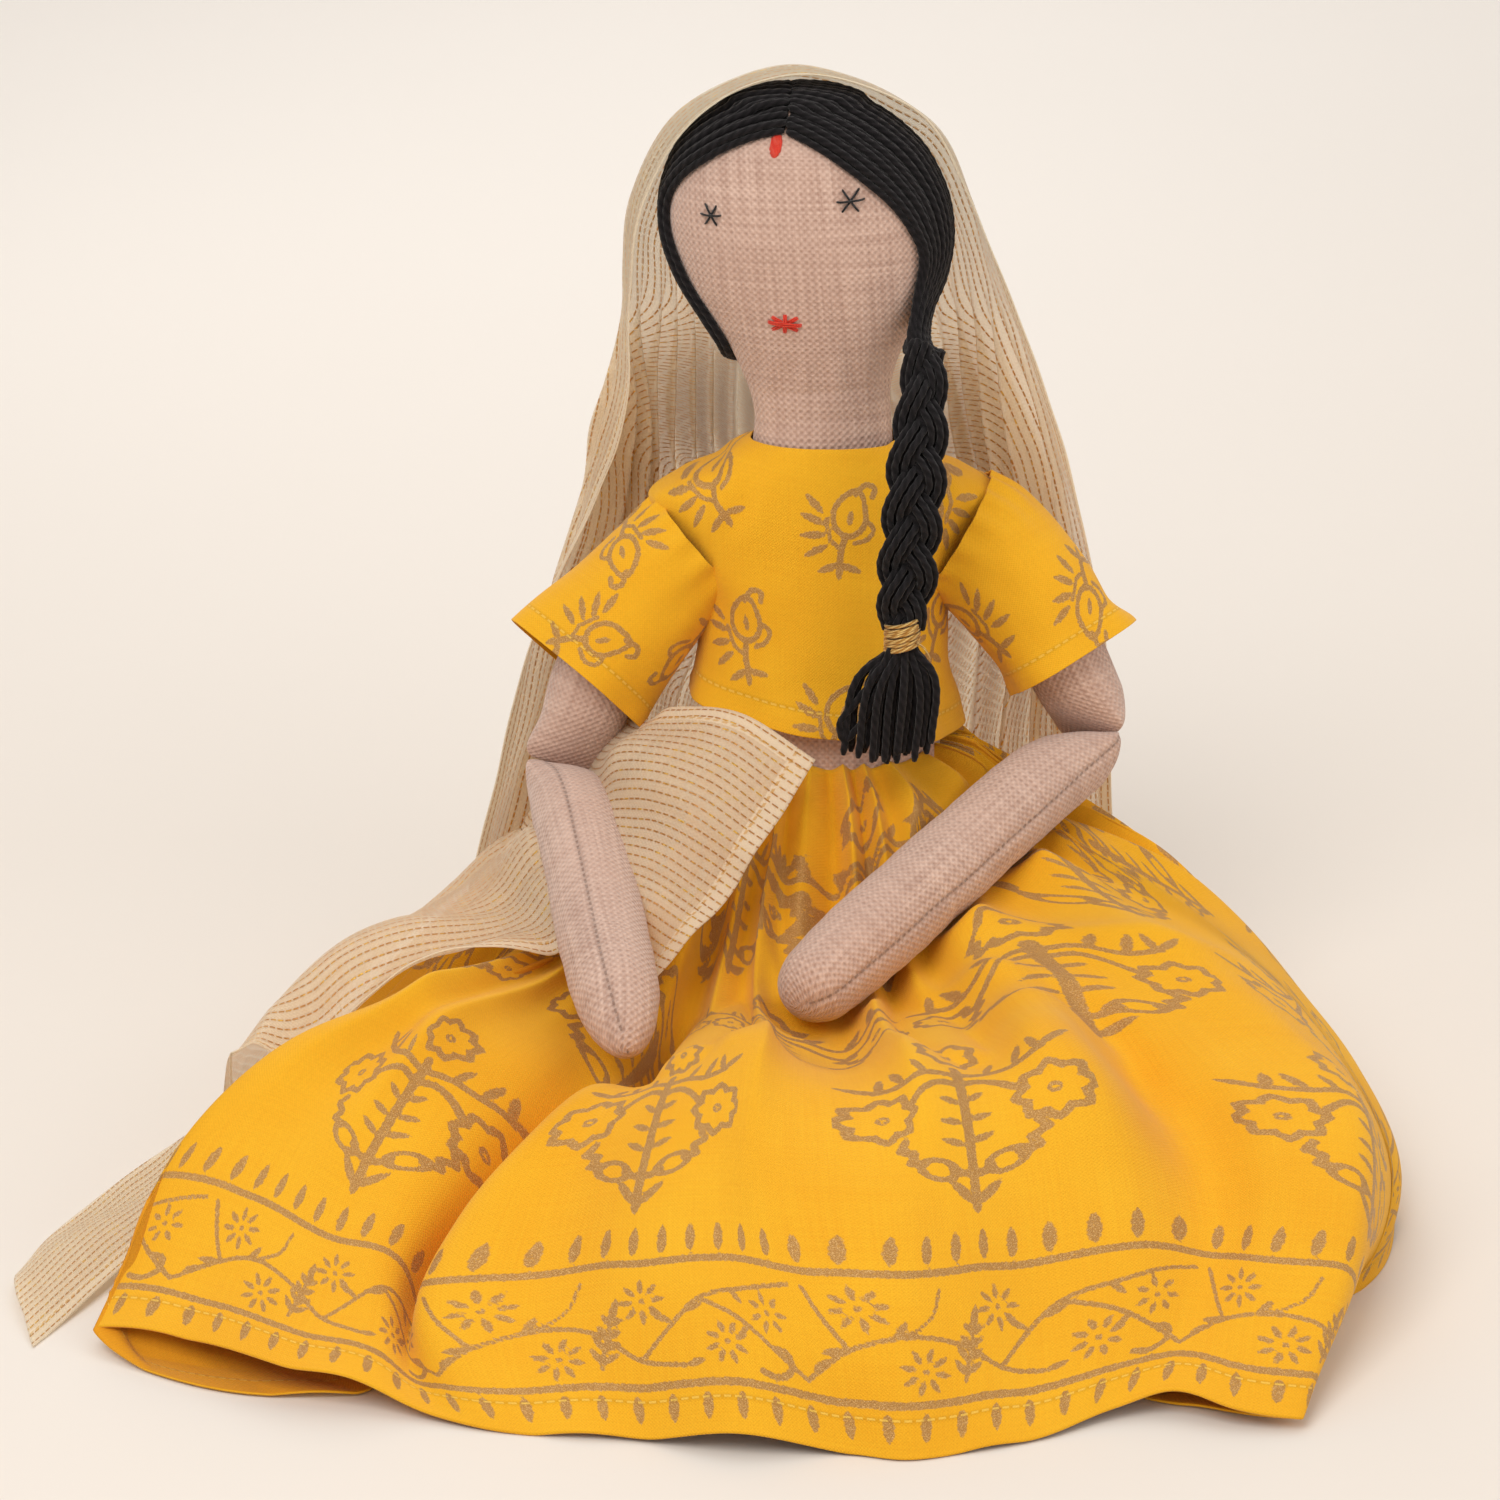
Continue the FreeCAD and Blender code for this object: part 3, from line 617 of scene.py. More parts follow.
def make_face():
    for name, x, z, bars in (
        ("eye_right_stitches", -30.0, 228.4, ((60, 6.0), (120, 6.0), (2, 5.2))),
        ("eye_left_stitches", 5.6, 232.9, ((52, 7.6), (128, 7.2), (4, 7.4))),
    ):
        pile = Pile()
        for k, (angle, length) in enumerate(bars):
            face_stitch(pile, x, z, angle, length, 0.3, 0.25 + 0.35 * k)
        obj = pile.make(name, [BLACK_THREAD])
        attach(obj, "head", "black_thread", name[: -len("_stitches")])
    pile = Pile()
    for k, (angle, length) in enumerate(((28, 8.6), (152, 8.4), (90, 5.4), (-4, 9.2))):
        face_stitch(pile, -11.0, 200.9, angle, length, 0.3, 0.2 + 0.3 * k, 2, 1.0)
    obj = pile.make("mouth_stitches", [RED_THREAD])
    attach(obj, "head", "red_thread", "mouth")
    pile = Pile()
    for k in range(8):
        off = (k - 3.5) / 3.5
        length = 6.4 * math.sqrt(1 - 0.72 * off**2)
        lean = math.radians(12)
        x = -13.4 + off * 1.2 * math.cos(lean)
        z = 246.2 - off * 1.2 * math.sin(lean)
        face_stitch(pile, x, z, 90 - 12, length, 0.27, 0.35 * (1 - off**2) + 0.15)
    obj = pile.make("bindi_stitches", [RED_THREAD])
    attach(obj, "head", "red_thread", "bindi")


# ---- hair --------------------------------------------------------------------------------

YARN_R = 0.95


def snap(p, lift):
    """Move points onto the head, then out by a lift."""
    p = np.asarray(p, float)
    z0 = np.minimum(p[..., 2], 222.0)
    mid_x, mid_y = head_axis(z0)
    origin = np.stack([mid_x, mid_y, z0], axis=-1)
    ray = unit(p - origin)
    low, high = np.zeros(p.shape[:-1]), np.full(p.shape[:-1], 60.0)
    for _ in range(26):
        t = (low + high) / 2
        q = origin + ray * t[..., None]
        mx, my, a, b = head_rows(np.minimum(q[..., 2], 256.6))
        outside = ((q[..., 0] - mx) / a) ** 2 + ((q[..., 1] - my) / b) ** 2 > 1
        outside |= q[..., 2] > 256.6
        low, high = np.where(outside, low, t), np.where(outside, t, high)
    return origin + ray * (low + lift)[..., None]


PART_LINE = np.array([(-11, -0.4, 251), (-9.5, 8, 256), (-9, 17, 257.5), (-9, 28, 254), (-9, 37, 249)], float)
PLAIT_ROOT = vec(24.6, -11, 194.5)


def hair_side(front, back, count, seed, converge):
    """Strands from the parting to the front and back guide lines, ends pulled towards a point."""
    rng = np.random.default_rng(seed)
    starts = path(PART_LINE, 64)
    front, back = path(front, 40), path(back, 40)
    lines = []
    for k in range(count):
        s = k / (count - 1)
        start = starts[int(round(s * 63))]
        t = np.linspace(0, 1, 40)[:, None]
        line = front * (1 - s) + back * s
        line = line + (start - line[0]) * (1 - t) ** 2.2
        line = line + np.sin(math.pi * t * rng.uniform(1, 2) + rng.uniform(0, 6)) * rng.normal(size=3) * 0.28
        layer = 1.1 + 0.75 * (k % 2) + 0.25 * rng.uniform(-1, 1)
        lift = layer + 0.5 * np.sin(math.pi * t[:, 0])
        snapped = snap(line, lift)
        if converge is not None:
            angle = k * 2.4
            radius = 4.6 * math.sqrt((k + 0.5) / count)
            goal = converge + vec(radius * math.cos(angle), 0.75 * radius * math.sin(angle), 0)
            pull = steps(0.72, 1.0, t)
            snapped = snapped * (1 - pull) + goal * pull
        lines.append(path(snapped, 90))
    return lines


def make_hair():
    left_front = [(-11, -0.4, 251), (5, -6, 243.5), (20, -2, 226), (25.3, 0, 216), (23.6, -2, 202),
                  (23, -6, 197), (24.4, -10, 193)]
    left_back = [(-9, 37, 249), (12, 40, 242), (28, 34, 226), (31, 24, 208), (27, 6, 198), (25.5, -4, 195),
                 (24.8, -9, 193.5)]
    right_front = [(-11, -0.4, 251), (-32, 2, 244), (-40.5, 11, 228), (-38.6, 8, 213), (-27.5, 8, 192),
                   (-19, 22, 184)]
    right_back = [(-9, 37, 249), (-26, 40, 242), (-38, 34, 226), (-32, 34, 208), (-20, 34, 192),
                  (-10, 30, 186)]
    pile = Pile()
    groups = (hair_side(left_front, left_back, 36, 5, PLAIT_ROOT),
              hair_side(right_front, right_back, 28, 6, None))
    for lines in groups:
        for k, line in enumerate(lines):
            tube(pile, line, YARN_R, 8, ply=0.09, lay=3.2, start=k * 1.37)
    for lines in groups:
        under = np.stack([line[:78] for line in lines])
        mid_x, mid_y = head_axis(under[..., 2])
        inward = np.stack([mid_x, mid_y, under[..., 2]], axis=-1) - under
        under = under + unit(inward) * 0.9
        u = np.broadcast_to(np.linspace(0, 70, under.shape[1])[None], under.shape[:2])
        v = np.broadcast_to(np.linspace(0, 30, under.shape[0])[:, None], under.shape[:2])
        pile.grid(under, u, v)
    obj = pile.make("hair_strands", [YARN])
    attach(obj, "head", "black_yarn", "hair_cap")


PLAIT_LINE = np.array([(24.8, -11, 196), (24.6, -14.5, 190), (23.4, -21.5, 175), (22, -27, 160),
                       (20.5, -29.6, 142), (19.2, -31, 127)], float)


def make_plait():
    line = path(PLAIT_LINE, 260)
    tangent = unit(np.gradient(line, axis=0))
    across = unit(np.cross(tangent, vec(0.25, -1, 0)))
    out = np.cross(across, tangent)
    run = np.concatenate([[0], np.cumsum(np.linalg.norm(np.diff(line, axis=0), axis=1))])
    period = 37.0
    part = run / run[-1]
    wide = 2.7 + 1.9 * steps(0.0, 0.5, part) - 1.6 * steps(0.86, 1.0, part)
    deep = 2.0 - 0.8 * steps(0.86, 1.0, part)
    lobes = ((0, 0), *[(math.cos(k * TAU / 7), math.sin(k * TAU / 7)) for k in range(7)])
    for strand, letter in enumerate("abc"):
        phase = TAU * (run / period + strand / 3) + 0.6
        centre = line + across * (wide * np.sin(phase))[:, None] + out * (deep * np.sin(2 * phase))[:, None]
        heading = unit(np.gradient(centre, axis=0))
        side = unit(np.cross(heading, out))
        up = np.cross(side, heading)
        pile = Pile()
        size = 2.35 + 0.5 * steps(0, 0.4, part) - 0.5 * steps(0.88, 1.0, part)
        for k, (cx, cy) in enumerate(lobes):
            turn = 0.5 * phase + k
            offset = side * (size * cx)[:, None] + up * (size * cy * 0.72)[:, None]
            tube(pile, centre + offset, YARN_R * 0.95, 8, ply=0.09, start=k * 1.1 + turn[0], taper=0)
        obj = pile.make(f"plait_yarns_{letter}", [YARN])
        attach(obj, "plait", "black_yarn", f"plait_strand_{letter}")
    # binding thread
    pile = Pile()
    middle = vec(19.3, -31.2, 125.2)
    phase = np.linspace(0, 9.3 * TAU, 340)
    tilt = math.tan(math.radians(16))
    x = 4.3 * np.cos(phase)
    y = 4.0 * np.sin(phase)
    z = np.linspace(3.9, -3.9, 340) + x * tilt + 0.25 * np.sin(phase * 0.37)
    tube(pile, middle + np.stack([x, y, z], axis=1), 0.5, 8, ply=0.1, lay=1.6)
    tail = [(22.8, -34, 124), (25, -35.6, 122.6), (26.5, -35.8, 119.5)]
    tube(pile, path(tail, 14), 0.28, 6, ply=0.1, lay=1.4)
    obj = pile.make("plait_binding", [GOLD])
    attach(obj, "plait", "gold_thread", "plait_tie")
    # loose ends
    rng = np.random.default_rng(8)
    pile = Pile()
    for k in range(30):
        angle = k * 2.4
        radius = math.sqrt((k + 0.5) / 30)
        start = vec(19.3 + 3.3 * radius * math.cos(angle), -31.2 + 2.9 * radius * math.sin(angle), 127)
        reach_x = 15.5 + 12.5 * radius * math.cos(angle)
        reach_y = -34 + 3.4 * radius * math.sin(angle) + rng.uniform(-0.5, 0.5)
        end_x = reach_x + rng.uniform(-1, 1)
        end = vec(end_x, reach_y, 92 + rng.uniform(-1.6, 3.5) + 0.02 * (reach_x - 15) ** 2)
        mid = start * 0.55 + end * 0.45 + vec((start[0] - 19.3) * 0.9, (start[1] + 31.2) * 0.5, 3)
        tube(pile, path([start, start + vec(0, 0, -5), mid, end], 30), YARN_R, 8, ply=0.09, start=k * 0.9)
    loop = [(17.5, -33, 125), (14, -34.5, 117), (7.5, -35, 108), (3.2, -35, 101), (4.4, -35, 97.5),
            (8, -35.2, 101), (12.5, -35, 110), (16, -34.5, 118)]
    tube(pile, path(loop, 50), YARN_R, 8, ply=0.09)
    obj = pile.make("plait_ends", [YARN])
    attach(obj, "plait", "black_yarn", "plait_tassel")


make_torso()
make_head()
make_limbs()
make_face()
make_hair()
make_plait()

# ---- block print ---------------------------------------------------------------------------
# Each shape gives the distance in mm to its edge, less than 0 inside the ink.
NO_INK = 9.0  # stands for a point far from any ink


def turned(x, y, base_x, base_y, angle):
    """Distances along and across a direction, from a base point."""
    c, s = math.cos(math.radians(angle)), math.sin(math.radians(angle))
    return (x - base_x) * c + (y - base_y) * s, -(x - base_x) * s + (y - base_y) * c


def ink_line(x, y, points, radius):
    best = np.full(x.shape, 99.0)
    for (ax, ay), (bx, by) in zip(points, points[1:]):
        dx, dy = bx - ax, by - ay
        t = np.clip(((x - ax) * dx + (y - ay) * dy) / (dx * dx + dy * dy), 0, 1)
        best = np.minimum(best, np.hypot(x - ax - t * dx, y - ay - t * dy))
    return best - radius


def ink_curve(x, y, points, radius, count=14):
    points = np.asarray(points, float)
    fine = path(np.concatenate([points, np.zeros((len(points), 1))], axis=1), count)[:, :2]
    return ink_line(x, y, fine, radius)


def ink_leaf(x, y, base_x, base_y, angle, length, width):
    """Pointed leaf from its base in a direction."""
    along, across = turned(x, y, base_x, base_y, angle)
    across = np.abs(across)
    t = np.clip(along / length, 0, 1)
    half = width / 2 * 2.05 * t**0.62 * (1 - t) ** 0.75
    over = np.maximum(np.maximum(-along, along - length), 0)
    return np.hypot(np.maximum(across - half, 0), over) * 0.9 + np.minimum(across - half, 0) * 0.8


def ink_ring(x, y, cx, cy, rx, ry, angle, band):
    p, q = turned(x, y, cx, cy, angle)
    return np.abs(np.hypot(p / rx, q / ry) - 1) * (rx + ry) / 2 - band


def ink_daisy(x, y, cx, cy, petals=8, length=3.9, turn=0.0):
    best = np.hypot(x - cx, y - cy) - 0.75
    for k in range(petals):
        angle = 360 * k / petals + turn
        bx = cx + 1.9 * math.cos(math.radians(angle))
        by = cy + 1.9 * math.sin(math.radians(angle))
        best = np.minimum(best, ink_leaf(x, y, bx, by, angle, length, 1.9))
    return best


def union(*fields):
    return np.minimum.reduce(fields)


def ink_star(x, y, cx, cy, radius, turn=0.0):
    """Toothed ring with a small eye."""
    r, a = np.hypot(x - cx, y - cy), np.arctan2(y - cy, x - cx)
    tooth = np.abs((a * 8 / TAU + turn) % 1 - 0.5) * 2
    band = (np.abs(r - radius * (0.74 + 0.24 * tooth)) - 1.15) * 0.85
    return np.minimum(band, np.abs(r - 0.95) - 0.5)


def ink_tree(x, y):
    """Leafed tree block, about 52 mm wide and 56 mm tall, base at the origin."""
    parts = [
        ink_line(x, y, [(0, 0), (0.3, 18), (0, 39)], 1.3),
        ink_leaf(x, y, 0, -2.4, 90, 6, 3.4),
        ink_star(x, y, 0, 48.5, 7.0, 0.5),
    ]
    for side in (-1, 1):
        sx = x * side
        low = 0.8 if side < 0 else 0.0
        parts.append(ink_leaf(sx, y, 0.3, 0.2, 40 + 9 * low, 9.2, 3.2))
        for height, angle, length in ((15.6, 22, 6.6), (21.6, 14, 6.2), (27.0, 30, 5.4)):
            parts.append(ink_leaf(sx, y, 0.9, height - low, angle, length, 2.5))
        parts += [
            ink_curve(sx, y, [(0, 7.6), (3.4, 8.2), (5.4, 9.6)], 1.0),
            ink_ring(sx, y, 8.6, 10.6 - low, 4.6, 2.3, 20, 1.0),
            ink_line(sx, y, [(11.6, 12), (15.4, 12.8), (13.9, 15.0), (17.2, 16.6), (15.6, 19)], 1.0),
            ink_star(sx, y, 19.4, 25.6 + 2 * low, 7.6),
            ink_curve(sx, y, [(0, 32.4), (5, 33.6), (9.5, 31.6), (13, 28.4)], 1.0),
            ink_curve(sx, y, [(0, 36), (7, 37.2), (13, 36.6), (19.4, 38.6)], 0.95),
            ink_leaf(sx, y, 7, 37.2, 68, 6.6, 2.5), ink_leaf(sx, y, 13, 36.8, 74, 8, 2.7),
            ink_leaf(sx, y, 18.6, 38.2, 40, 8.2, 2.8), ink_leaf(sx, y, 18.6, 38.0, 100, 7.2, 2.6),
        ]
    return union(*parts)


def ink_serrated(x, y, cx, cy, angle, length):
    p, q = turned(x, y, cx, cy, angle)
    parts = [ink_line(p, q, [(0, 0), (length, 0)], 0.55), ink_leaf(p, q, length - 3.5, 0, 0, 6, 2.6)]
    for k in range(4):
        for side in (-1, 1):
            parts.append(ink_leaf(p, q, 1.5 + k * (length - 4) / 3.6, 0, side * 48, 4.8 - 0.4 * k, 2.1))
    return union(*parts)


TILE = 81.0


def ink_border(s, d):
    """Hem row, vine band and upper row, repeated every tile."""
    x = (s + TILE / 2) % TILE - TILE / 2
    drop = TILE / 10
    xd = (s + drop / 2) % drop - drop / 2
    parts = [np.abs(d - 11.4) - 0.95, ink_leaf(xd, d, 0, 9.6, -90, 6.6, 3.2)]
    spike = TILE / 11
    xs = (s + spike / 2) % spike - spike / 2
    parts += [np.abs(d - 41.0) - 0.95, ink_leaf(xs, d, 0.2, 42.8, 86, 7.6, 3.3)]
    for shift in (-TILE, 0, TILE):
        q = x - shift
        parts += [
            ink_curve(q, d, [(-40, 15), (-30, 23), (-20, 26.5), (-8, 24), (2, 17.5), (12, 15.5)], 0.6, 24),
            ink_curve(q, d, [(2, 17.5), (8, 24), (16, 31), (28, 33.5), (41, 37)], 0.6, 20),
            ink_curve(q, d, [(16, 31), (24, 27), (34, 20), (41, 15)], 0.6, 16),
            ink_curve(q, d, [(-30, 23), (-34, 30), (-37, 37)], 0.55),
            ink_curve(q, d, [(-20, 26.5), (-14, 31), (-12, 37)], 0.5),
            ink_daisy(q, d, -27.5, 32.6, turn=11), ink_daisy(q, d, -16, 18.6, turn=30),
            ink_daisy(q, d, 2.5, 31.5, turn=5), ink_daisy(q, d, 22, 20.4, turn=20, length=3.6),
            ink_daisy(q, d, 33.5, 28.5, petals=7, length=3.4),
            ink_serrated(q, d, -7, 15.5, 78, 15),
            ink_curve(q, d, [(30, 14.6), (34, 13.9), (37.5, 16.5), (37, 20), (33.8, 20.3)], 0.8),
            ink_leaf(q, d, 12, 15.5, 12, 5, 2.2), ink_leaf(q, d, -30, 23, 190, 6, 2.4),
            ink_leaf(q, d, 9, 26, 150, 5.5, 2.2), ink_leaf(q, d, 12, 28, 20, 5.5, 2.2),
            ink_leaf(q, d, 24, 33, -50, 4.5, 2.0), ink_leaf(q, d, -22, 26, 60, 5, 2.2),
            ink_leaf(q, d, -38, 18, 30, 5.5, 2.3), ink_leaf(q, d, 28, 24.5, -140, 4.5, 2.0),
        ]
    return union(*parts)


def ink_sprig(x, y, turn):
    """Small paisley sprig, about 26 mm."""
    x, y = turned(x, y, 0, 0, turn)
    r, a = np.hypot(x - 3, (y - 4) / 1.15), np.arctan2(y - 4, x - 3)
    point = 1.6 * np.exp(-((a - 1.2) / 0.5) ** 2)
    parts = [
        np.abs(r - 4.3 - point) - 0.75,
        ink_leaf(x, y, 3, 1.6, 84, 4.4, 2.2),
        ink_curve(x, y, [(4.5, 9.6), (7.5, 12.0), (9.6, 11.0), (9.0, 8.8)], 0.75),
        ink_curve(x, y, [(2.0, -1), (0.8, -5), (0.6, -8.8)], 0.9),
        ink_curve(x, y, [(7.6, 3.0), (9.4, 0.6), (7.6, -2.0), (4.4, -2.8)], 0.65),
        ink_leaf(x, y, 0.6, -8.2, 198, 6.4, 2.6), ink_leaf(x, y, 0.6, -8.2, -22, 6.4, 2.6),
        ink_leaf(x, y, 0.6, -8.2, -95, 4.4, 2.4),
    ]
    for k in range(4):
        parts.append(ink_leaf(x, y, -2.6 - 0.4 * k, -3.2 + 2.7 * k, 205 - 24 * k, 7.2, 2.6))
    parts.append(ink_line(x, y, [(0.6, -4.4), (-2.0, -1.8), (-3.2, 3.4)], 0.6))
    return union(*parts)


# ---- skirt ---------------------------------------------------------------------------------

# Warp lines of the cloth from waist to hem, in order round the waist from the back over the
# doll's right side. At both front corners the hem turns under and lies on the floor.
BACK = 8
LEVELS = np.array([0, 0.14, 0.30, 0.46, 0.60, 0.74, 0.88, 1.0])
WARPS = [
    [(0, 34, 84), (0, 47, 62), (0, 52, 44), (0, 64, 26), (0, 75, 12), (0, 76, 3), (0, 62, 0.8), (0, 42, 0.8)],
    [(-22, 31, 84), (-31, 42, 60), (-44, 48, 40), (-56, 58, 22), (-66, 66, 9), (-68, 66, 2),
     (-58, 54, 0.8), (-48, 40, 0.8)],
    [(-34, 19, 84), (-52, 26, 60), (-74, 28, 40), (-96, 28, 22), (-112, 24, 8), (-114, 20, 1.5),
     (-98, 14, 0.8), (-84, 8, 0.8)],
    [(-38, 9, 84), (-62, 4, 62), (-90, -12, 42), (-116, -30, 24), (-132, -44, 8), (-134, -52, 1.5),
     (-122, -56, 0.8), (-108, -56, 0.8)],
    [(-38, 2, 84), (-66, -20, 60), (-104, -58, 40), (-130, -92, 18), (-134, -118, 0.8)],
    [(-37, -1, 84), (-60, -28, 60), (-84, -54, 50), (-106, -82, 42), (-128, -110, 28), (-136, -132, 12),
     (-124, -158, 2), (-114, -172, 0.8)],
    [(-36, -3, 84), (-58, -30, 60), (-82, -62, 50), (-106, -89, 47), (-134, -118, 34), (-148, -146, 13),
     (-126, -182, 1.4), (-106, -201, 0.8)],
    [(-36, -4, 84), (-57, -32, 60), (-80, -66, 50), (-104, -94, 51), (-138, -122, 41), (-156, -154, 17),
     (-144, -188, 1.6), (-132, -203, 0.8)],
    [(-35, -5, 84), (-56, -33, 61), (-77, -66, 50), (-102, -96, 54), (-137, -124, 47), (-160, -155, 25),
     (-164, -180, 4), (-157, -193, 0.8)],
    [(-34, -6, 84), (-54, -33, 62), (-74, -63, 51), (-100, -98, 56), (-131, -122, 53), (-154, -145, 37),
     (-166, -166, 16), (-172, -181, 5)],
    [(-33, -9, 84), (-52, -36, 60), (-72, -68, 50), (-96, -105, 54), (-122, -133, 46), (-137, -157, 29),
     (-144, -176, 15), (-147, -192, 9)],
    [(-31, -12, 84), (-48, -40, 56), (-68, -76, 45), (-90, -112, 49), (-106, -139, 39), (-116, -164, 24),
     (-119, -188, 14), (-122, -207, 10)],
    [(-28, -15, 84), (-44, -44, 52), (-60, -82, 39), (-76, -116, 36), (-90, -144, 26), (-101, -170, 17),
     (-103, -192, 10), (-103, -211, 5.5)],
    [(-25, -18, 84), (-38, -48, 49), (-52, -88, 34), (-66, -118, 22), (-79, -138, 13), (-94, -163, 7),
     (-98, -190, 5), (-92, -214, 3)],
    [(-22, -20, 84), (-33, -50, 46), (-45, -92, 33), (-58, -128, 44), (-72, -150, 41), (-87, -170, 30),
     (-94, -193, 15), (-80, -218, 1.5)],
    [(-19, -21, 84), (-29, -52, 45), (-37, -94, 35), (-48, -134, 48), (-56, -150, 48), (-64, -172, 33),
     (-68, -198, 15), (-63, -221, 0.8)],
    [(-16, -22, 84), (-25, -54, 45), (-31, -97, 38), (-38, -137, 55), (-43, -157, 53), (-48, -183, 36),
     (-48, -208, 17), (-45, -223, 1.2)],
    [(-12, -22.5, 84), (-19, -54, 46), (-21, -98, 41), (-24, -138, 58.5), (-26, -160, 56), (-28, -188, 41),
     (-25, -216, 22), (-23, -229, 6.5)],
    [(-6, -23, 84), (-9, -54, 48), (-8, -98, 42), (-7, -140, 55), (-7, -162, 54), (-6, -191, 42),
     (0, -216, 21), (4, -229, 0.8)],
    [(0, -23, 84), (1, -54, 49), (3, -98, 42), (6, -141, 55), (8, -164, 54), (10, -193, 41),
     (12, -218, 20), (13, -231, 0.8)],
    [(6, -22.5, 84), (10, -54, 50), (14, -98, 43), (19, -142, 58), (22, -165, 55), (25, -191, 38),
     (27, -214, 17), (27, -228, 0.8)],
    [(12, -22, 84), (19, -52, 51), (27, -97, 45), (36, -142, 60), (40, -161, 57), (43, -184, 36),
     (45, -206, 14), (45, -222, 1.5)],
    [(18, -20, 84), (29, -48, 55), (43, -90, 50), (53, -132, 60), (62, -153, 56), (68, -172, 38),
     (68, -195, 18), (61, -214, 4)],
    [(22, -18, 84), (38, -42, 58), (58, -80, 52), (72, -118, 42), (81, -143, 36), (86, -166, 27),
     (80, -192, 15), (73, -212, 7)],
    [(26, -15, 84), (47, -38, 62), (70, -76, 57), (88, -112, 48), (100, -142, 43), (101, -168, 32),
     (92, -196, 16), (87, -217, 5.5)],
    [(30, -11, 84), (54, -33, 64), (82, -74, 60), (106, -112, 52), (121, -142, 45), (119, -172, 30),
     (109, -200, 13), (103, -218, 2.5)],
    [(32, -8, 84), (58, -28, 66), (90, -68, 61), (114, -104, 52), (130, -136, 38), (124, -166, 18),
     (104, -196, 3), (84, -210, 0.8)],
    [(33, -6, 84), (60, -25, 66), (94, -62, 60), (120, -98, 48), (134, -132, 30), (126, -158, 12),
     (96, -186, 2), (68, -204, 0.8)],
    [(34, -4, 84), (61, -21, 66), (96, -55, 58), (123, -90, 44), (137, -123, 26), (131, -147, 9),
     (112, -166, 2), (97, -178, 0.8)],
    [(35, -1, 84), (62, -16, 66), (97, -46, 56), (124, -80, 39), (138, -110, 20), (139, -130, 7),
     (131, -146, 0.8)],
    [(36, 3, 84), (62, -6, 66), (96, -32, 52), (122, -62, 34), (137, -88, 13), (141, -102, 0.8)],
    [(37, 8, 84), (62, 6, 64), (92, -8, 46), (115, -24, 24), (127, -36, 6), (129, -40, 0.8)],
    [(35, 17, 84), (54, 21, 62), (74, 24, 42), (94, 25, 22), (108, 22, 8), (109, 18, 1.5), (96, 12, 0.8),
     (84, 6, 0.8)],
    [(25, 28, 84), (37, 40, 60), (48, 49, 38), (60, 60, 18), (67, 64, 6), (66, 62, 1.5), (56, 50, 0.8),
     (46, 38, 0.8)],
]

FOREARMS = ((vec(*RIGHT_ELBOW), vec(*RIGHT_HAND)), (vec(*LEFT_ELBOW), vec(*LEFT_HAND)))
LEG_LINES = (
    (vec(-18, -27.5, 13), vec(-30, -137, 43)), (vec(-30, -137, 43), vec(-23, -207, 12.4)),
    (vec(18, -27.5, 13), vec(30, -137, 43)), (vec(30, -137, 43), vec(14, -203, 12.4)),
)


def under_bar(p, start, end, radius, soft):
    """How far below a bar's underside the cloth has to go to clear it."""
    end = end - unit(end - start) * ARM * 0.6
    flat = (end - start)[:2]
    t = np.clip(((p[..., :2] - start[:2]) @ flat) / (flat @ flat), 0, 1)
    axis = start + (end - start) * t[..., None]
    off = np.linalg.norm(p[..., :2] - axis[..., :2], axis=-1)
    inside = off < radius
    floor = axis[..., 2] - np.sqrt(np.maximum(radius**2 - off**2, 0))
    return np.where(inside & (p[..., 2] < axis[..., 2] + soft), np.maximum(p[..., 2] - floor, 0), 0)


def clear_of_body(p, top):
    """Cloth rests under the forearms and over the legs."""
    p = p.copy()
    for start, end in LEG_LINES:
        flat = (end - start)[:2]
        t = np.clip(((p[..., :2] - start[:2]) @ flat) / (flat @ flat), 0, 1)
        axis = start + (end - start) * t[..., None]
        off = np.linalg.norm(p[..., :2] - axis[..., :2], axis=-1)
        lift = axis[..., 2] + np.sqrt(np.maximum((LEG + 1.6) ** 2 - off**2, 0))
        p[..., 2] = np.where(top & (off < LEG + 1.6), np.maximum(p[..., 2], lift), p[..., 2])
    for start, end in FOREARMS:
        p[..., 2] -= under_bar(p, start, end, ARM + 1.5, 40)
    return p


def blur(field, times, rows=True, columns=True):
    for _ in range(times):
        if columns:
            field = (np.roll(field, 1, axis=1) + 2 * field + np.roll(field, -1, axis=1)) / 4
        if rows:
            inner = (field[:-2] + 2 * field[1:-1] + field[2:]) / 4
            field = np.concatenate([field[:1], inner, field[-1:]])
    return field


def grid_normals(p, closed):
    if closed:
        du = np.roll(p, -1, axis=1) - np.roll(p, 1, axis=1)
    else:
        du = np.gradient(p, axis=1)
    return unit(np.cross(du, np.gradient(p, axis=0)))


def skirt_surface(columns, rows):
    warps = []
    for warp in WARPS:
        if len(warp) != BACK:
            warp = path(warp, BACK)
        warps.append(np.asarray(warp, float))
    warps = np.stack(warps)
    hem = warps[:, -1]
    step = np.linalg.norm(np.roll(hem, -1, axis=0) - hem, axis=1)
    knots = np.concatenate([[0], np.cumsum(step)])
    total = knots[-1]
    wide = np.concatenate([knots[:-1] - total, knots[:-1], knots[:-1] + total])
    at = np.arange(columns) / columns * total
    v = np.linspace(0, 1, rows)
    lines = np.stack([spline(LEVELS, warp, v) for warp in warps])
    lines = lines.reshape(len(warps), -1)
    p = spline(wide, np.concatenate([lines] * 3), at).reshape(columns, rows, 3)
    return p.transpose(1, 0, 2), at, total


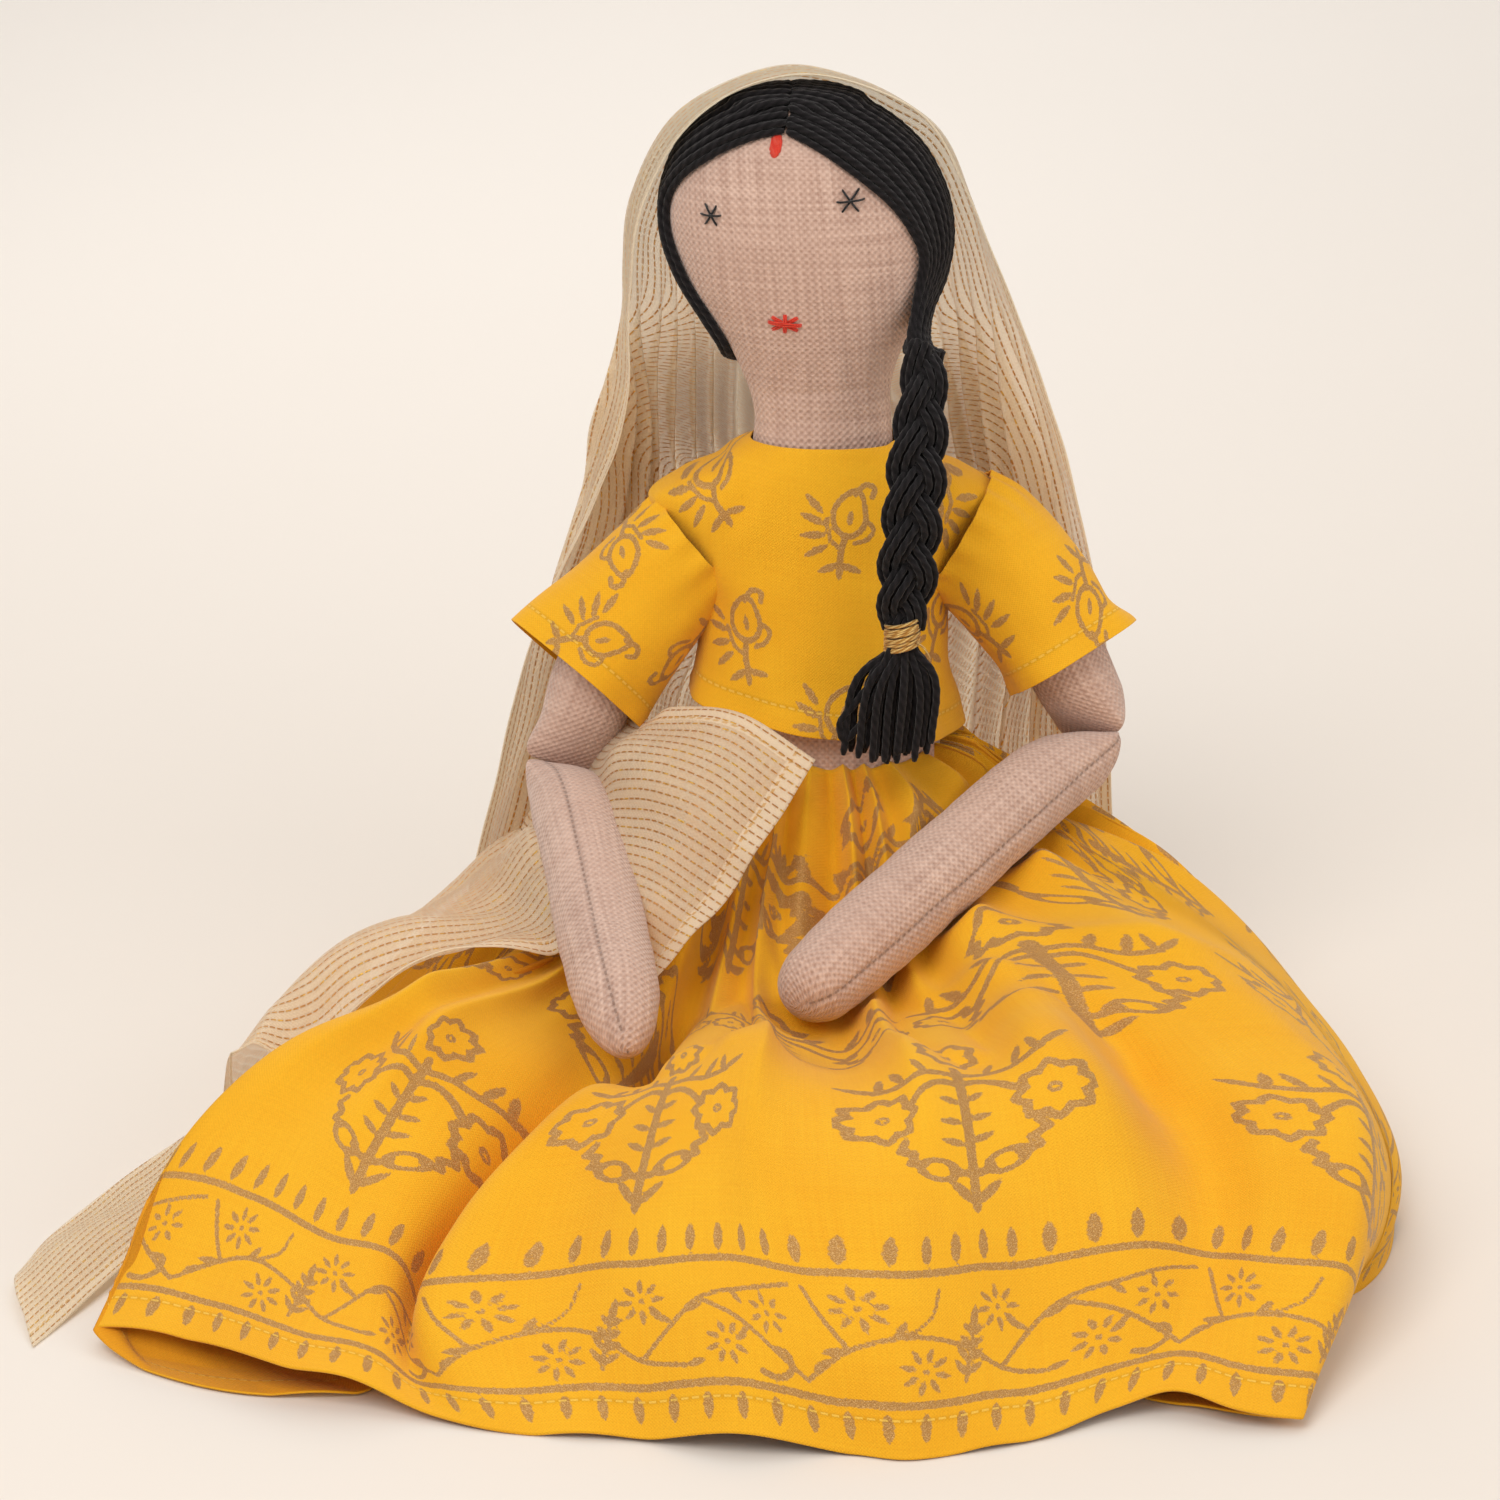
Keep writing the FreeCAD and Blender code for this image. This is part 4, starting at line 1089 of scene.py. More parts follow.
def gathers(at, v, total):
    """Depth of the gathers drawn in by the waist, fading out over the lap."""
    rng = np.random.default_rng(31)
    wander = sum(rng.uniform(0.4, 1) * np.sin(TAU * at / total * k + rng.uniform(0, TAU))
                 for k in (2, 3, 5, 7))
    tight = TAU * (at / total * 33 + 0.55 * wander)
    loose = TAU * (at / total * 15 + 0.4 * wander + 0.2)
    crest = lambda phase: 1 - 2 * np.abs(np.sin(phase / 2)) ** 1.3
    strength = 1 + 0.35 * np.sin(TAU * at / total * 9 + 1)
    drawn = 2.9 * (1 - steps(0.10, 0.42, v)) * steps(-0.02, 0.02, v)
    field = drawn[:, None] * crest(tight)[None] * strength[None]
    bell = np.sin(math.pi * np.clip(v / 0.72, 0, 1)) ** 1.1
    behind = 1 + 1.1 * np.cos(math.pi * at / total) ** 4
    uneven = behind * (0.9 + 0.4 * np.sin(TAU * at / total * 4))
    return field + (3.8 * bell)[:, None] * crest(loose)[None] * uneven[None]


# Creases of the lap seen from above: crest line, half width and height. Valleys are below zero.
LAP_FOLDS = (
    ([(-27, -58), (-31, -84), (-25, -138)], 5.0, 6.5),
    ([(-38, -72), (-43, -99), (-54, -128)], 6.5, -7.0),
    ([(18, -60), (27, -78), (66, -90), (86, -128)], 6.0, 4.6),
    ([(32, -48), (60, -66), (104, -82)], 6.0, 4.2),
    ([(-7, -28), (8, -50), (12, -74)], 4.5, -5.0),
    ([(8, -22), (24, -44), (42, -60)], 4.5, 4.2),
    ([(-19, -22), (-17, -48), (-9, -80)], 4.5, 4.4),
    ([(24, -14), (46, -30), (78, -44)], 5.0, 4.6),
    ([(30, -4), (56, -12), (92, -22)], 5.5, 4.0),
    ([(14, -100), (44, -112), (74, -112)], 6.5, 3.2),
    ([(36, -72), (70, -104), (78, -136)], 6.0, -4.2),
    ([(-84, -70), (-98, -92), (-96, -128)], 8.0, 3.6),
)


def lap_folds(p):
    rise = np.zeros(p.shape[:2])
    for points, half, height in LAP_FOLDS:
        line = path([(x, y, 0) for x, y in points], 40)[:, :2]
        off = np.full(p.shape[:2], 1e9)
        best = np.zeros(p.shape[:2])
        for k, spot in enumerate(line):
            d = np.hypot(p[..., 0] - spot[0], p[..., 1] - spot[1])
            best = np.where(d < off, k / 39, best)
            off = np.minimum(off, d)
        rise += height * np.exp(-((off / half) ** 1.5)) * np.sin(math.pi * (0.08 + 0.84 * best)) ** 0.7
    return rise


def cloth_slab(pile, p, normal, thickness, u, v, closed, print_field, inside_slot=1):
    """Outer face, inner face and rims of a sheet. Rows run from the first edge to the last."""
    first = pile.grid(p, u, v, closed=closed, slot=0, print=print_field, seam=NO_SEAM)
    back = pile.grid(p - normal * thickness, u, v, closed=closed, slot=inside_slot, flip=True,
                     print=NO_INK, seam=NO_SEAM)
    uv = np.stack([u, v], axis=-1)
    pile.strip(back[0], first[0], uv[0], uv[0], 0)
    pile.strip(first[-1], back[-1], uv[-1], uv[-1], 0)
    if not closed:
        pile.strip(first[:, 0], back[:, 0], uv[:, 0], uv[:, 0], 0)
        pile.strip(back[:, -1], first[:, -1], uv[:, -1], uv[:, -1], 0)


SKIRT_TREES = 449.0  # run along the hem of one tree's middle
SKIRT_FRONT = (330, 760)  # run along the hem between the two front corners
WAIST = 84  # height of the skirt's top edge


def skirt_print(s, d, total, tight):
    ink = ink_border(s - SKIRT_TREES, d)
    count = int(round(total / TILE))
    for row, (base, shift) in enumerate(((56.0, 0.0), (121.0, 0.5), (186.0, 0.0))):
        for k in range(count):
            middle = SKIRT_TREES + (k + shift) * TILE
            x = ((s - middle + total / 2) % total - total / 2) * tight
            near = (np.abs(x) < 27) & (d > base - 6) & (d < base + 60)
            if near.any():
                ink[near] = np.minimum(ink[near], ink_tree(x[near], d[near] - base))
    return ink


def make_skirt():
    columns, rows = ((1500, 290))
    p, at, total = skirt_surface(columns, rows)
    v = np.linspace(0, 1, rows)
    normal = grid_normals(p, True)
    outward = np.sign(normal[..., 2].mean())
    normal = unit(blur(normal * outward, 6))
    p = p + normal * gathers(at, v, total)[..., None]
    folds = noise(np.stack(np.broadcast_arrays(at[None], v[:, None] * 90), axis=-1), 41, 46, 2)
    ring = np.sin(math.pi * at / total) ** 2
    down_share = np.sin(math.pi * np.clip(v, 0, 1))[:, None] ** 0.5
    p = p + normal * (folds * 1.5 * down_share * (0.3 + 0.7 * ring[None]))[..., None]
    hem_wave = noise(np.stack([at, at * 0], axis=-1), 43, 24, 2)
    lift = np.maximum(hem_wave, -0.2) * 1.6 * np.clip((v - 0.8) / 0.2, 0, 1)[:, None] ** 2
    p[..., 2] += np.where(p[..., 2] < 30, lift, 0)
    top = (at > SKIRT_FRONT[0]) & (at < SKIRT_FRONT[1])
    top = np.broadcast_to(top[None], p.shape[:2]) & (p[..., 2] > 6)
    waist = vec(0, LEAN * WAIST, WAIST)
    pull_in = 0.14 * (1 - steps(0.0, 0.035, v))
    p[..., :2] = waist[:2] + (p[..., :2] - waist[:2]) * (1 - pull_in)[:, None, None]
    on_lap = top & (v < 0.72)[:, None]
    creases = lap_folds(p) * steps(0.03, 0.10, v)[:, None] * (1 - steps(0.5, 0.7, v))[:, None]
    p[..., 2] += np.where(on_lap, creases, 0)
    for _ in range(3):
        p = clear_of_body(p, top)
        p = np.where((v > 0.03)[:, None, None], blur(p, 2), p)
    p[..., 2] = np.maximum(p[..., 2], 0.75)
    run = np.linalg.norm(np.diff(p, axis=0), axis=2)
    down = np.concatenate([np.zeros((1, columns)), np.cumsum(run, axis=0)])
    rise = down[-1:] - down
    around = np.linalg.norm(np.roll(p, -1, axis=1) - p, axis=2).sum(axis=1) / total
    tight = np.clip(blur(around[:, None], 8, columns=False), 0.35, 1.0)
    s = np.broadcast_to(at[None], rise.shape)
    ink = skirt_print(s, rise, total, np.broadcast_to(tight, rise.shape))
    normal = grid_normals(p, True) * outward
    u = np.concatenate([s, np.full((rows, 1), total)], axis=1)
    height = np.concatenate([rise, rise[:, :1]], axis=1)
    pile = Pile()
    cloth_slab(pile, p, normal, 0.55, u, height, True, ink)
    obj = pile.make("skirt", [PRINTED, PLAIN_YELLOW])
    attach(obj, "torso", "printed_cotton", "skirt_cloth", "skirt_elastic")
    return p


HEM_STITCH = 8.2  # distance of the sewn line from the edge


def cotton_material(name, light, dark, printed):
    g = Graph(name, rough=0.82, sheen=0.12, sheen_rough=0.5, specular=0.25)
    u, v = g.cloth()
    weave = g.weave(0.42, 0.40, 0.1)
    warp, weft = g.threads(0.42, 0.40)
    both = g.math("ADD", warp, weft)
    patches = g.noise(g.place(), 22.0, 3.0)
    tone = g.math("MULTIPLY_ADD", patches, 0.9, g.math("MULTIPLY", both, 0.35))
    base = g.mix(g.range(tone, 0.45, 1.1), linear(*dark), linear(*light))
    fibre = g.noise(g.place(), 1800.0, 2.0)
    # Painted shade: the cloth darkens where the weave is low, in the hollows between threads, mixed with
    # random fibre tone.
    base = g.mix(g.range(g.math("MULTIPLY_ADD", weave, 0.5, fibre), 0.4, 1.15, 0.16, 0.0), base,
                 linear(*[c * 0.62 for c in dark]))
    edge = g.math("MULTIPLY_ADD", g.noise(g.join(u, v), 1.1, 3.0), 0.9, -0.45)
    if printed:
        field = g.math("ADD", g.attribute("print"), edge)
        mask = g.range(field, -0.16, 0.1, 1.0, 0.0)
        worn = g.noise(g.join(u, v, 3.0), 2.4, 3.0)
        mask = g.math("MULTIPLY", mask, g.range(worn, 0.28, 0.42, 0.55, 1.0))
        glint = g.noise(g.join(u, v, 9.0), 5.5, 2.0)
        ink = g.mix(g.range(glint, 0.5, 0.68), linear(176, 128, 66), linear(224, 182, 118))
        color = g.mix(mask, base, ink)
        metal = g.math("MULTIPLY", mask, 0.28)
        g.put(g.shader.inputs["Metallic"], metal)
        g.put(g.shader.inputs["Roughness"], g.math("MULTIPLY_ADD", mask, -0.34, 0.82))
    else:
        color, mask = base, None
    dash = g.math("LESS_THAN", g.math("FRACT", g.math("DIVIDE", u, 2.5)), 0.66)
    off_line = g.math("ABSOLUTE", g.math("SUBTRACT", v, HEM_STITCH))
    line = g.math("LESS_THAN", off_line, 0.26)
    stitch = g.math("MULTIPLY", line, dash)
    # Painted shade: the cloth darkens in the trough along the sewn hem line; the same trough is pressed in by
    # the bump as well.
    trough = g.range(off_line, 0.0, 0.9, 0.35, 0.0)
    color = g.mix(trough, color, linear(*[c * 0.75 for c in dark]))
    color = g.mix(g.math("MULTIPLY", stitch, 0.6), color, linear(250, 208, 92))
    g.color(color)
    height = g.math("MULTIPLY_ADD", weave, 0.35, g.math("MULTIPLY", both, 0.25))
    height = g.math("MULTIPLY_ADD", stitch, 0.9, g.math("SUBTRACT", height, g.math("MULTIPLY", trough, 1.2)))
    if printed:
        height = g.math("MULTIPLY_ADD", g.math("MULTIPLY", mask, glint), 0.5, height)
    g.bump(height, 0.28, 0.8)
    return g.material


PRINTED = cotton_material("printed_cotton", (248, 189, 34), (238, 166, 20), True)
# Inner face: the same cotton without print, its yellows darker than the outer face's as painted shade.
PLAIN_YELLOW = cotton_material("cotton_inside", (240, 168, 26), (222, 142, 14), False)
SKIRT_SURFACE = make_skirt()

# ---- veil ----------------------------------------------------------------------------------


VEIL_END = 2000.0  # u of the hem at the veil's end on the lap


def veil_material(name):
    g = Graph(name, rough=0.78, sheen=0.3, sheen_rough=0.4, specular=0.3)
    u, v = g.cloth()
    drift = g.math("MULTIPLY_ADD", g.noise(g.join(u, v), 0.05, 2.0), 1.6, -0.8)
    across = g.math("DIVIDE", g.math("ADD", v, drift), 2.6)
    line = g.math("ABSOLUTE", g.math("SUBTRACT", g.math("FRACT", across), 0.5))
    number = g.math("FLOOR", across)
    stripe = g.range(line, 0.06, 0.11, 1.0, 0.0)
    gap = g.math("FRACT", g.math("MULTIPLY_ADD", number, 0.37, g.math("DIVIDE", u, 2.1)))
    dash = g.range(g.math("ABSOLUTE", g.math("SUBTRACT", gap, 0.5)), 0.33, 0.40, 1.0, 0.12)
    stripe = g.math("MULTIPLY", stripe, dash)
    weave = g.weave(0.55, 0.52, 0.2)
    warp, weft = g.threads(0.55, 0.52)
    both = g.math("ADD", warp, weft)
    # Partly painted shade: the weave height darkens the hollows between threads; the thread noise is random
    # tone.
    tone = g.range(g.math("MULTIPLY_ADD", weave, 0.4, both), 0.7, 1.5)
    base = g.mix(tone, linear(242, 218, 184), linear(255, 244, 221))
    # Painted glints: noise picks bright gold spots along the stripes, lighter whatever the lamps do.
    stripe_glint = g.noise(g.join(g.math("MULTIPLY", u, 0.35), g.math("MULTIPLY", number, 3.7)), 1.0, 2.0)
    gold = g.mix(g.range(stripe_glint, 0.5, 0.66), linear(206, 156, 98), linear(255, 216, 96))
    hem = g.math("MAXIMUM", g.range(v, 5.0, 5.4, 1.0, 0.0), g.range(u, VEIL_END - 5.4, VEIL_END - 5.0))
    sewn = g.math("LESS_THAN", g.math("ABSOLUTE", g.math("SUBTRACT", v, 4.4)), 0.3)
    end_line = g.math("ABSOLUTE", g.math("SUBTRACT", u, VEIL_END - 4.4))
    sewn = g.math("MAXIMUM", sewn, g.math("LESS_THAN", end_line, 0.3))
    step = g.math("FRACT", g.math("DIVIDE", g.math("ADD", u, v), 2.4))
    sewn = g.math("MULTIPLY", sewn, g.math("LESS_THAN", step, 0.6))
    base = g.mix(g.math("MULTIPLY", hem, 0.5), base, linear(255, 246, 226))
    solid = g.math("MAXIMUM", stripe, g.math("MULTIPLY", hem, 0.8))
    g.color(g.mix(g.math("MULTIPLY", sewn, 0.8), g.mix(stripe, base, gold), linear(226, 178, 96)))
    g.put(g.shader.inputs["Metallic"], g.math("MULTIPLY", stripe, 0.6))
    g.put(g.shader.inputs["Roughness"], g.math("MULTIPLY_ADD", stripe, -0.42, 0.78))
    height = g.math("MULTIPLY_ADD", weave, 0.5, g.math("MULTIPLY", both, 0.4))
    g.bump(g.math("MULTIPLY_ADD", stripe, 0.6, height), 0.25, 0.8)
    glow = g.mix(stripe, linear(255, 249, 234), linear(222, 176, 118))
    g.see_through(glow, 0.5, g.math("MULTIPLY", g.math("SUBTRACT", 1.0, solid), 0.34))
    return g.material


def net(controls, rows, columns):
    """Smooth grid through a net of control points, rows x columns."""
    controls = np.asarray(controls, float)
    n, m = controls.shape[:2]
    long = spline(np.linspace(0, 1, n), controls.reshape(n, -1), np.linspace(0, 1, rows)).reshape(rows, m, 3)
    wide = spline(np.linspace(0, 1, m), long.transpose(1, 0, 2).reshape(m, -1), np.linspace(0, 1, columns))
    return wide.reshape(columns, rows, 3).transpose(1, 0, 2)


def run_along(p, axis):
    run = np.linalg.norm(np.diff(p, axis=axis), axis=2)
    start = np.zeros_like(np.take(run, [0], axis=axis))
    return np.concatenate([start, np.cumsum(run, axis=axis)], axis=axis)


# Rows run along the veil's length from its left end over the head to its right end, each from
# the front edge round to the middle of the back.
VEIL_ROWS = [
    [(85, 38, 22), (68, 57, 20), (40, 68, 18), (-4, 72, 16)],
    [(82, 34, 60), (67, 53, 57), (39, 65, 53), (-3, 69, 48)],
    [(77, 23, 110), (65, 46, 106), (38, 60, 99), (-3, 66, 90)],
    [(68, 18, 145), (59, 41, 142), (36, 57, 133), (-3, 63, 120)],
    [(59, 15, 173), (53, 36, 169), (33, 53, 158), (-4, 61, 144)],
    [(47, 11, 204), (46, 31, 200), (31, 50, 186), (-5, 59, 165)],
    [(36, 9, 231), (39, 26, 227), (28, 46, 209), (-6, 58, 183)],
    [(22, 10, 252), (26, 29, 248), (17, 47, 227), (-6, 57, 197)],
    [(-7, 11, 262.5), (-7, 32, 260), (-7, 48, 237), (-6.5, 56.5, 209)],
    [(-33, 10, 253.5), (-37, 29, 250), (-28, 47, 228), (-6, 57, 197)],
    [(-47.5, 9.5, 232), (-50.5, 27, 228), (-38, 46, 209), (-6, 58, 183)],
    [(-51, 11, 205), (-53, 31, 200), (-38, 50, 187), (-5, 59, 165)],
    [(-53, 14, 175), (-56, 35, 171), (-41, 53, 159), (-4, 61, 144)],
    [(-62, 26, 146), (-62, 42, 141), (-43, 57, 132), (-3, 63, 120)],
    [(-78, 18, 110), (-71, 44, 106), (-46, 60, 99), (-3, 66, 90)],
    [(-92, 12, 60), (-82, 45, 57), (-50, 65, 53), (-3, 69, 48)],
    [(-101, 6, 20), (-88, 42, 19), (-54, 67, 18), (-4, 72, 16)],
]
VEIL_LAP = [
    [(-57, 34, 96), (-66, 31, 80), (-76, 24, 64), (-84, 12, 54)],
    [(-53, 12, 92), (-60, 6, 80), (-66, -4, 66), (-74, -20, 56)],
    [(-47, -7, 93), (-55, -14, 82), (-61, -26, 68), (-68, -42, 57)],
    [(-40, -16, 100), (-49, -27, 86), (-56, -42, 68), (-62, -58, 55)],
    [(-22, -29, 102.5), (-34, -44, 86), (-44, -59, 67), (-54, -72, 51)],
    [(-3, -36.5, 92.5), (-15, -52, 78), (-29, -66, 62), (-44, -78, 49)],
]
VEIL_LAY = [
    [(-56, -65, 56), (-66, -42, 58), (-77, -16, 58), (-85, 13, 52)],
    [(-72, -76, 53), (-88, -50, 55), (-102, -20, 48), (-107, 14, 28)],
    [(-98, -88, 50), (-110, -60, 49), (-120, -32, 36), (-125, -4, 18)],
    [(-126, -100, 48), (-134, -76, 40), (-141, -52, 24), (-146, -34, 9)],
    [(-148, -108, 42), (-152, -90, 30), (-156, -72, 12), (-158, -60, 3)],
]
VEIL_TAIL = [
    [(-148, -108, 42), (-152, -90, 30), (-156, -72, 12), (-158, -60, 3)],
    [(-152, -92, 16), (-156, -82, 9), (-160, -72, 4), (-163, -63, 2)],
    [(-160, -116, 3), (-166, -104, 2), (-170, -93, 1.8), (-173, -84, 1.8)],
    [(-172, -150, 3), (-178, -138, 5), (-184, -127, 3), (-188, -118, 1.8)],
    [(-186, -181, 1.8), (-190, -170, 3.4), (-194, -159, 3.4), (-196, -149, 1.8)],
]


RASTER = 260  # cells each way, of 2 mm
RASTER_X, RASTER_Y = 260, 330  # its corner is at minus these


def height_map(surface):
    """Heights of a draped surface from above."""
    heights = np.zeros((RASTER, RASTER))
    i = np.clip(((surface[..., 0] + RASTER_X) / 2).astype(int), 0, RASTER - 1)
    j = np.clip(((surface[..., 1] + RASTER_Y) / 2).astype(int), 0, RASTER - 1)
    np.maximum.at(heights, (i.ravel(), j.ravel()), surface[..., 2].ravel())
    for _ in range(2):
        for axis in (0, 1):
            sides = np.maximum(np.roll(heights, 1, axis), np.roll(heights, -1, axis))
            heights = np.maximum(heights, sides)
    for _ in range(4):
        for axis in (0, 1):
            heights = (np.roll(heights, 1, axis) + 2 * heights + np.roll(heights, -1, axis)) / 4
    return heights


def height_at(heights, p):
    x = np.clip((p[..., 0] + RASTER_X) / 2, 0, RASTER - 2)
    y = np.clip((p[..., 1] + RASTER_Y) / 2, 0, RASTER - 2)
    i, j = x.astype(int), y.astype(int)
    x, y = x - i, y - j
    low = heights[i, j] * (1 - x) + heights[i + 1, j] * x
    high = heights[i, j + 1] * (1 - x) + heights[i + 1, j + 1] * x
    return low * (1 - y) + high * y


def add_veil_grid(pile, p, waves, seed, free=1.0, last_hem=False):
    along, across = run_along(p, 0), run_along(p, 1)
    normal = grid_normals(p, False)
    q = p + normal * waves[..., None]
    wrinkle = noise(np.stack([along, across * 2.2], axis=-1), seed, 60, 3)
    q = q + normal * (wrinkle * 1.3 * free)[..., None]
    q[..., 2] = np.maximum(q[..., 2], 1.0)
    normal = grid_normals(q, False)
    even = along.mean(axis=1, keepdims=True) + 0 * along
    if last_hem:
        even = even - even[-1:] + VEIL_END
    cloth_slab(pile, q, normal, 0.35, even, run_along(q, 1), False, NO_INK, inside_slot=0)


PLEAT = 7.2  # depth of the pleats behind the doll, where the cloth's full width hangs gathered


def make_veil(skirt):
    ground = height_map(skirt)
    pile = Pile()
    q = 1
    p = net(VEIL_ROWS, int(460 * q), int(240 * q))
    across = run_along(p, 1)
    width = across[:, -1:]
    low = steps(215, 60, p[..., 2])
    part = across / width
    edge = np.sin(math.pi * part) ** 0.5
    drift = 0.3 * np.sin(p[..., 2] / 34) + 0.1
    folds = np.sin(TAU * (part * 4.6 + drift)) + 0.5 * np.sin(TAU * (part * 8.3 + 0.4) + p[..., 2] / 40)
    uneven = noise(np.stack([part * 60, run_along(p, 0) * 0.25], axis=-1), 56, 22, 2)
    pleats = np.sin(TAU * (part * 11.5 + 0.6 * drift + 0.45 * uneven)) * (1 + 0.35 * uneven)
    pleats = pleats + 0.25 * np.sin(TAU * (part * 3.1 + drift))
    away = steps(0.10, 0.26, part)
    hang = 1 - steps(152, 208, p[..., 2])
    closed = 1 - steps(0.94, 1.0, part)
    waves = folds * (0.9 + 1.2 * low) * edge * (1 - away * hang) + pleats * PLEAT * hang * away * closed
    add_veil_grid(pile, p, waves, 51, free=closed)
    p = net(VEIL_LAP, int(150 * q), int(90 * q))
    s = np.linspace(0, 1, p.shape[0])[:, None]
    r = np.linspace(0, 1, p.shape[1])[None]
    puff = 5.5 * np.sin(math.pi * s) * np.sin(math.pi * np.clip(r * 1.1, 0, 1))
    roll = 2.0 * np.sin(TAU * (r * 2.4 - s * 0.7)) * np.sin(math.pi * r) * steps(0.2, 0.6, s)
    p[..., 2] = np.maximum(p[..., 2], height_at(ground, p) + 1.0)
    add_veil_grid(pile, p, puff + roll, 52, last_hem=True)
    p = net(VEIL_LAY, int(120 * q), int(90 * q))
    s = np.linspace(0, 1, p.shape[0])[:, None]
    r = np.linspace(0, 1, p.shape[1])[None]
    crest = 2.4 * (1 + np.sin(TAU * (s * 1.8 + r * 0.6))) * np.sin(math.pi * np.clip(r + 0.12, 0, 1))
    lip = 7.0 * np.exp(-((s - 0.06) / 0.09) ** 2) * (1 - r) ** 0.5
    rest = height_at(ground, p) + 1.5
    settled = (1 - steps(0.0, 0.3, r)) * steps(0.1, 0.3, s) * (1 - steps(0.72, 0.95, s))
    p[..., 2] = np.maximum(rest, p[..., 2]) * (1 - settled) + rest * settled + lip
    end = 1 - steps(0.85, 1.0, s)
    p[..., 2] += 7 * np.exp(-((r - 0.22) / 0.2) ** 2) * steps(0.15, 0.5, s) * end
    add_veil_grid(pile, p, crest * end, 53, free=end + 0 * r)
    p = net(VEIL_TAIL, int(120 * q), int(60 * q))
    p[..., 2] = np.maximum(height_at(ground, p) + 1.5, p[..., 2])
    s = np.linspace(0, 1, p.shape[0])[:, None]
    add_veil_grid(pile, p, 0 * p[..., 0], 54, free=steps(0.0, 0.15, s) + 0 * p[..., 0])
    obj = pile.make("veil", [VEIL])
    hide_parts("veil_hood", "veil_back", "veil_wrap", "veil_lay", "veil_tail")
    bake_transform(obj, "torso", "head", start=(0, 0.0118, 0.170), end=(0, 0.0133, 0.190))


VEIL = veil_material("veil_cloth")
make_veil(SKIRT_SURFACE)

# ---- blouse --------------------------------------------------------------------------------

# place round the blouse, height and turn of each sprig
SPRIGS = ((3, 146, 0), (-24, 117, 14), (-33, 156, 40), (1, 96, -8), (33, 119, -12), (31, 152, 150),
          (66, 110, 20), (-70, 112, 190), (90, 140, 0), (-95, 148, 30), (-58, 142, 100), (60, 148, 60))


def stamp_sprigs(u, v, sprigs):
    """Distance to the ink of all sprigs, each at its place on the cloth."""
    ink = np.full(v.shape, NO_INK)
    for place_u, place_v, turn in sprigs:
        du, dv = u[:, :-1] - place_u, v - place_v
        near = (np.abs(du) < 17) & (np.abs(dv) < 17)
        ink[near] = np.minimum(ink[near], ink_sprig(du[near], dv[near], turn))
    return ink


BLOUSE_HEM = 93.3  # height of the front hem in the middle
BLOUSE_TILT = 0.157  # the hem drops towards the doll's left by this much of x


def make_bodice():
    columns, rows = ((420, 220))
    # height of the front, half width, half depth and how far the sides are lower
    rings = np.array([
        (BLOUSE_HEM, 36.2, 27.0, 0), (100, 35.0, 25.4, 0), (112, 33.4, 23.8, 0), (125, 33.4, 22.6, 0),
        (136, 37.5, 21.0, 0.5), (146, 44.0, 19.8, 2), (154, 48.0, 18.2, 3), (159.5, 42.0, 17.0, 4),
        (163.4, 31.0, 15.8, 3), (165.6, 24.0, 15.0, 1), (166.6, 20.3, 14.2, 0),
    ], float)
    at = np.linspace(0, 1, len(rings))
    z, a, b, drop = spline(at, rings, np.linspace(0, 1, rows)).T
    theta = (np.arange(columns) / columns - 0.5) * TAU
    s, c = np.sin(theta), np.cos(theta)
    x = a[:, None] * np.sign(s) * np.abs(s) ** 0.92
    y = LEAN * z[:, None] - b[:, None] * np.sign(c) * np.abs(c) ** 0.95
    height = z[:, None] - drop[:, None] * np.abs(s) ** 2.2
    low = 1 - steps(BLOUSE_HEM, 122, height)
    height = height - BLOUSE_TILT * x * low
    p = np.stack([x, y, height], axis=-1)
    normal = unit(p - np.stack([0 * x, LEAN * height, height], axis=-1))
    around = np.broadcast_to(theta[None] * 34, x.shape)
    wrinkle = noise(np.stack([around, p[..., 2] * 0.7], axis=-1), 61, 30, 3)
    pull = np.sin((p[..., 0] * 0.9 + p[..., 2] * 0.8) / 4.2) * np.exp(-((p[..., 2] - 128) / 13) ** 2)
    pull = pull * steps(12, 28, np.abs(p[..., 0]))
    side = np.exp(-((np.abs(p[..., 0]) - 27) / 9) ** 2) * steps(140, 152, p[..., 2])
    pull = pull + 1.5 * side * np.sin((p[..., 0] - 0.35 * p[..., 2]) / 1.9)
    flare = 1.6 * low * (1 + 0.7 * np.cos(7 * theta[None] + 0.8)) * steps(0, 14, 108 - p[..., 2])
    p = p + normal * (0.9 * wrinkle + 0.7 * pull + flare)[..., None]
    u = ring_lengths(p)
    v = np.concatenate([height, height[:, :1]], axis=1)
    ink = stamp_sprigs(u, height, SPRIGS)
    hem = v - (BLOUSE_HEM - BLOUSE_TILT * np.concatenate([x, x[:, :1]], axis=1)) + 2.2
    pile = Pile()
    normal = grid_normals(p, True)
    normal = normal * np.sign((normal * (p - p.mean(axis=(0, 1)))).sum(axis=-1).mean())
    cloth_slab(pile, p, normal, 0.5, u, hem, True, ink)
    obj = pile.make("blouse_body", [PRINTED, PLAIN_YELLOW])
    attach(obj, "torso", "printed_cotton", "choli_bodice")


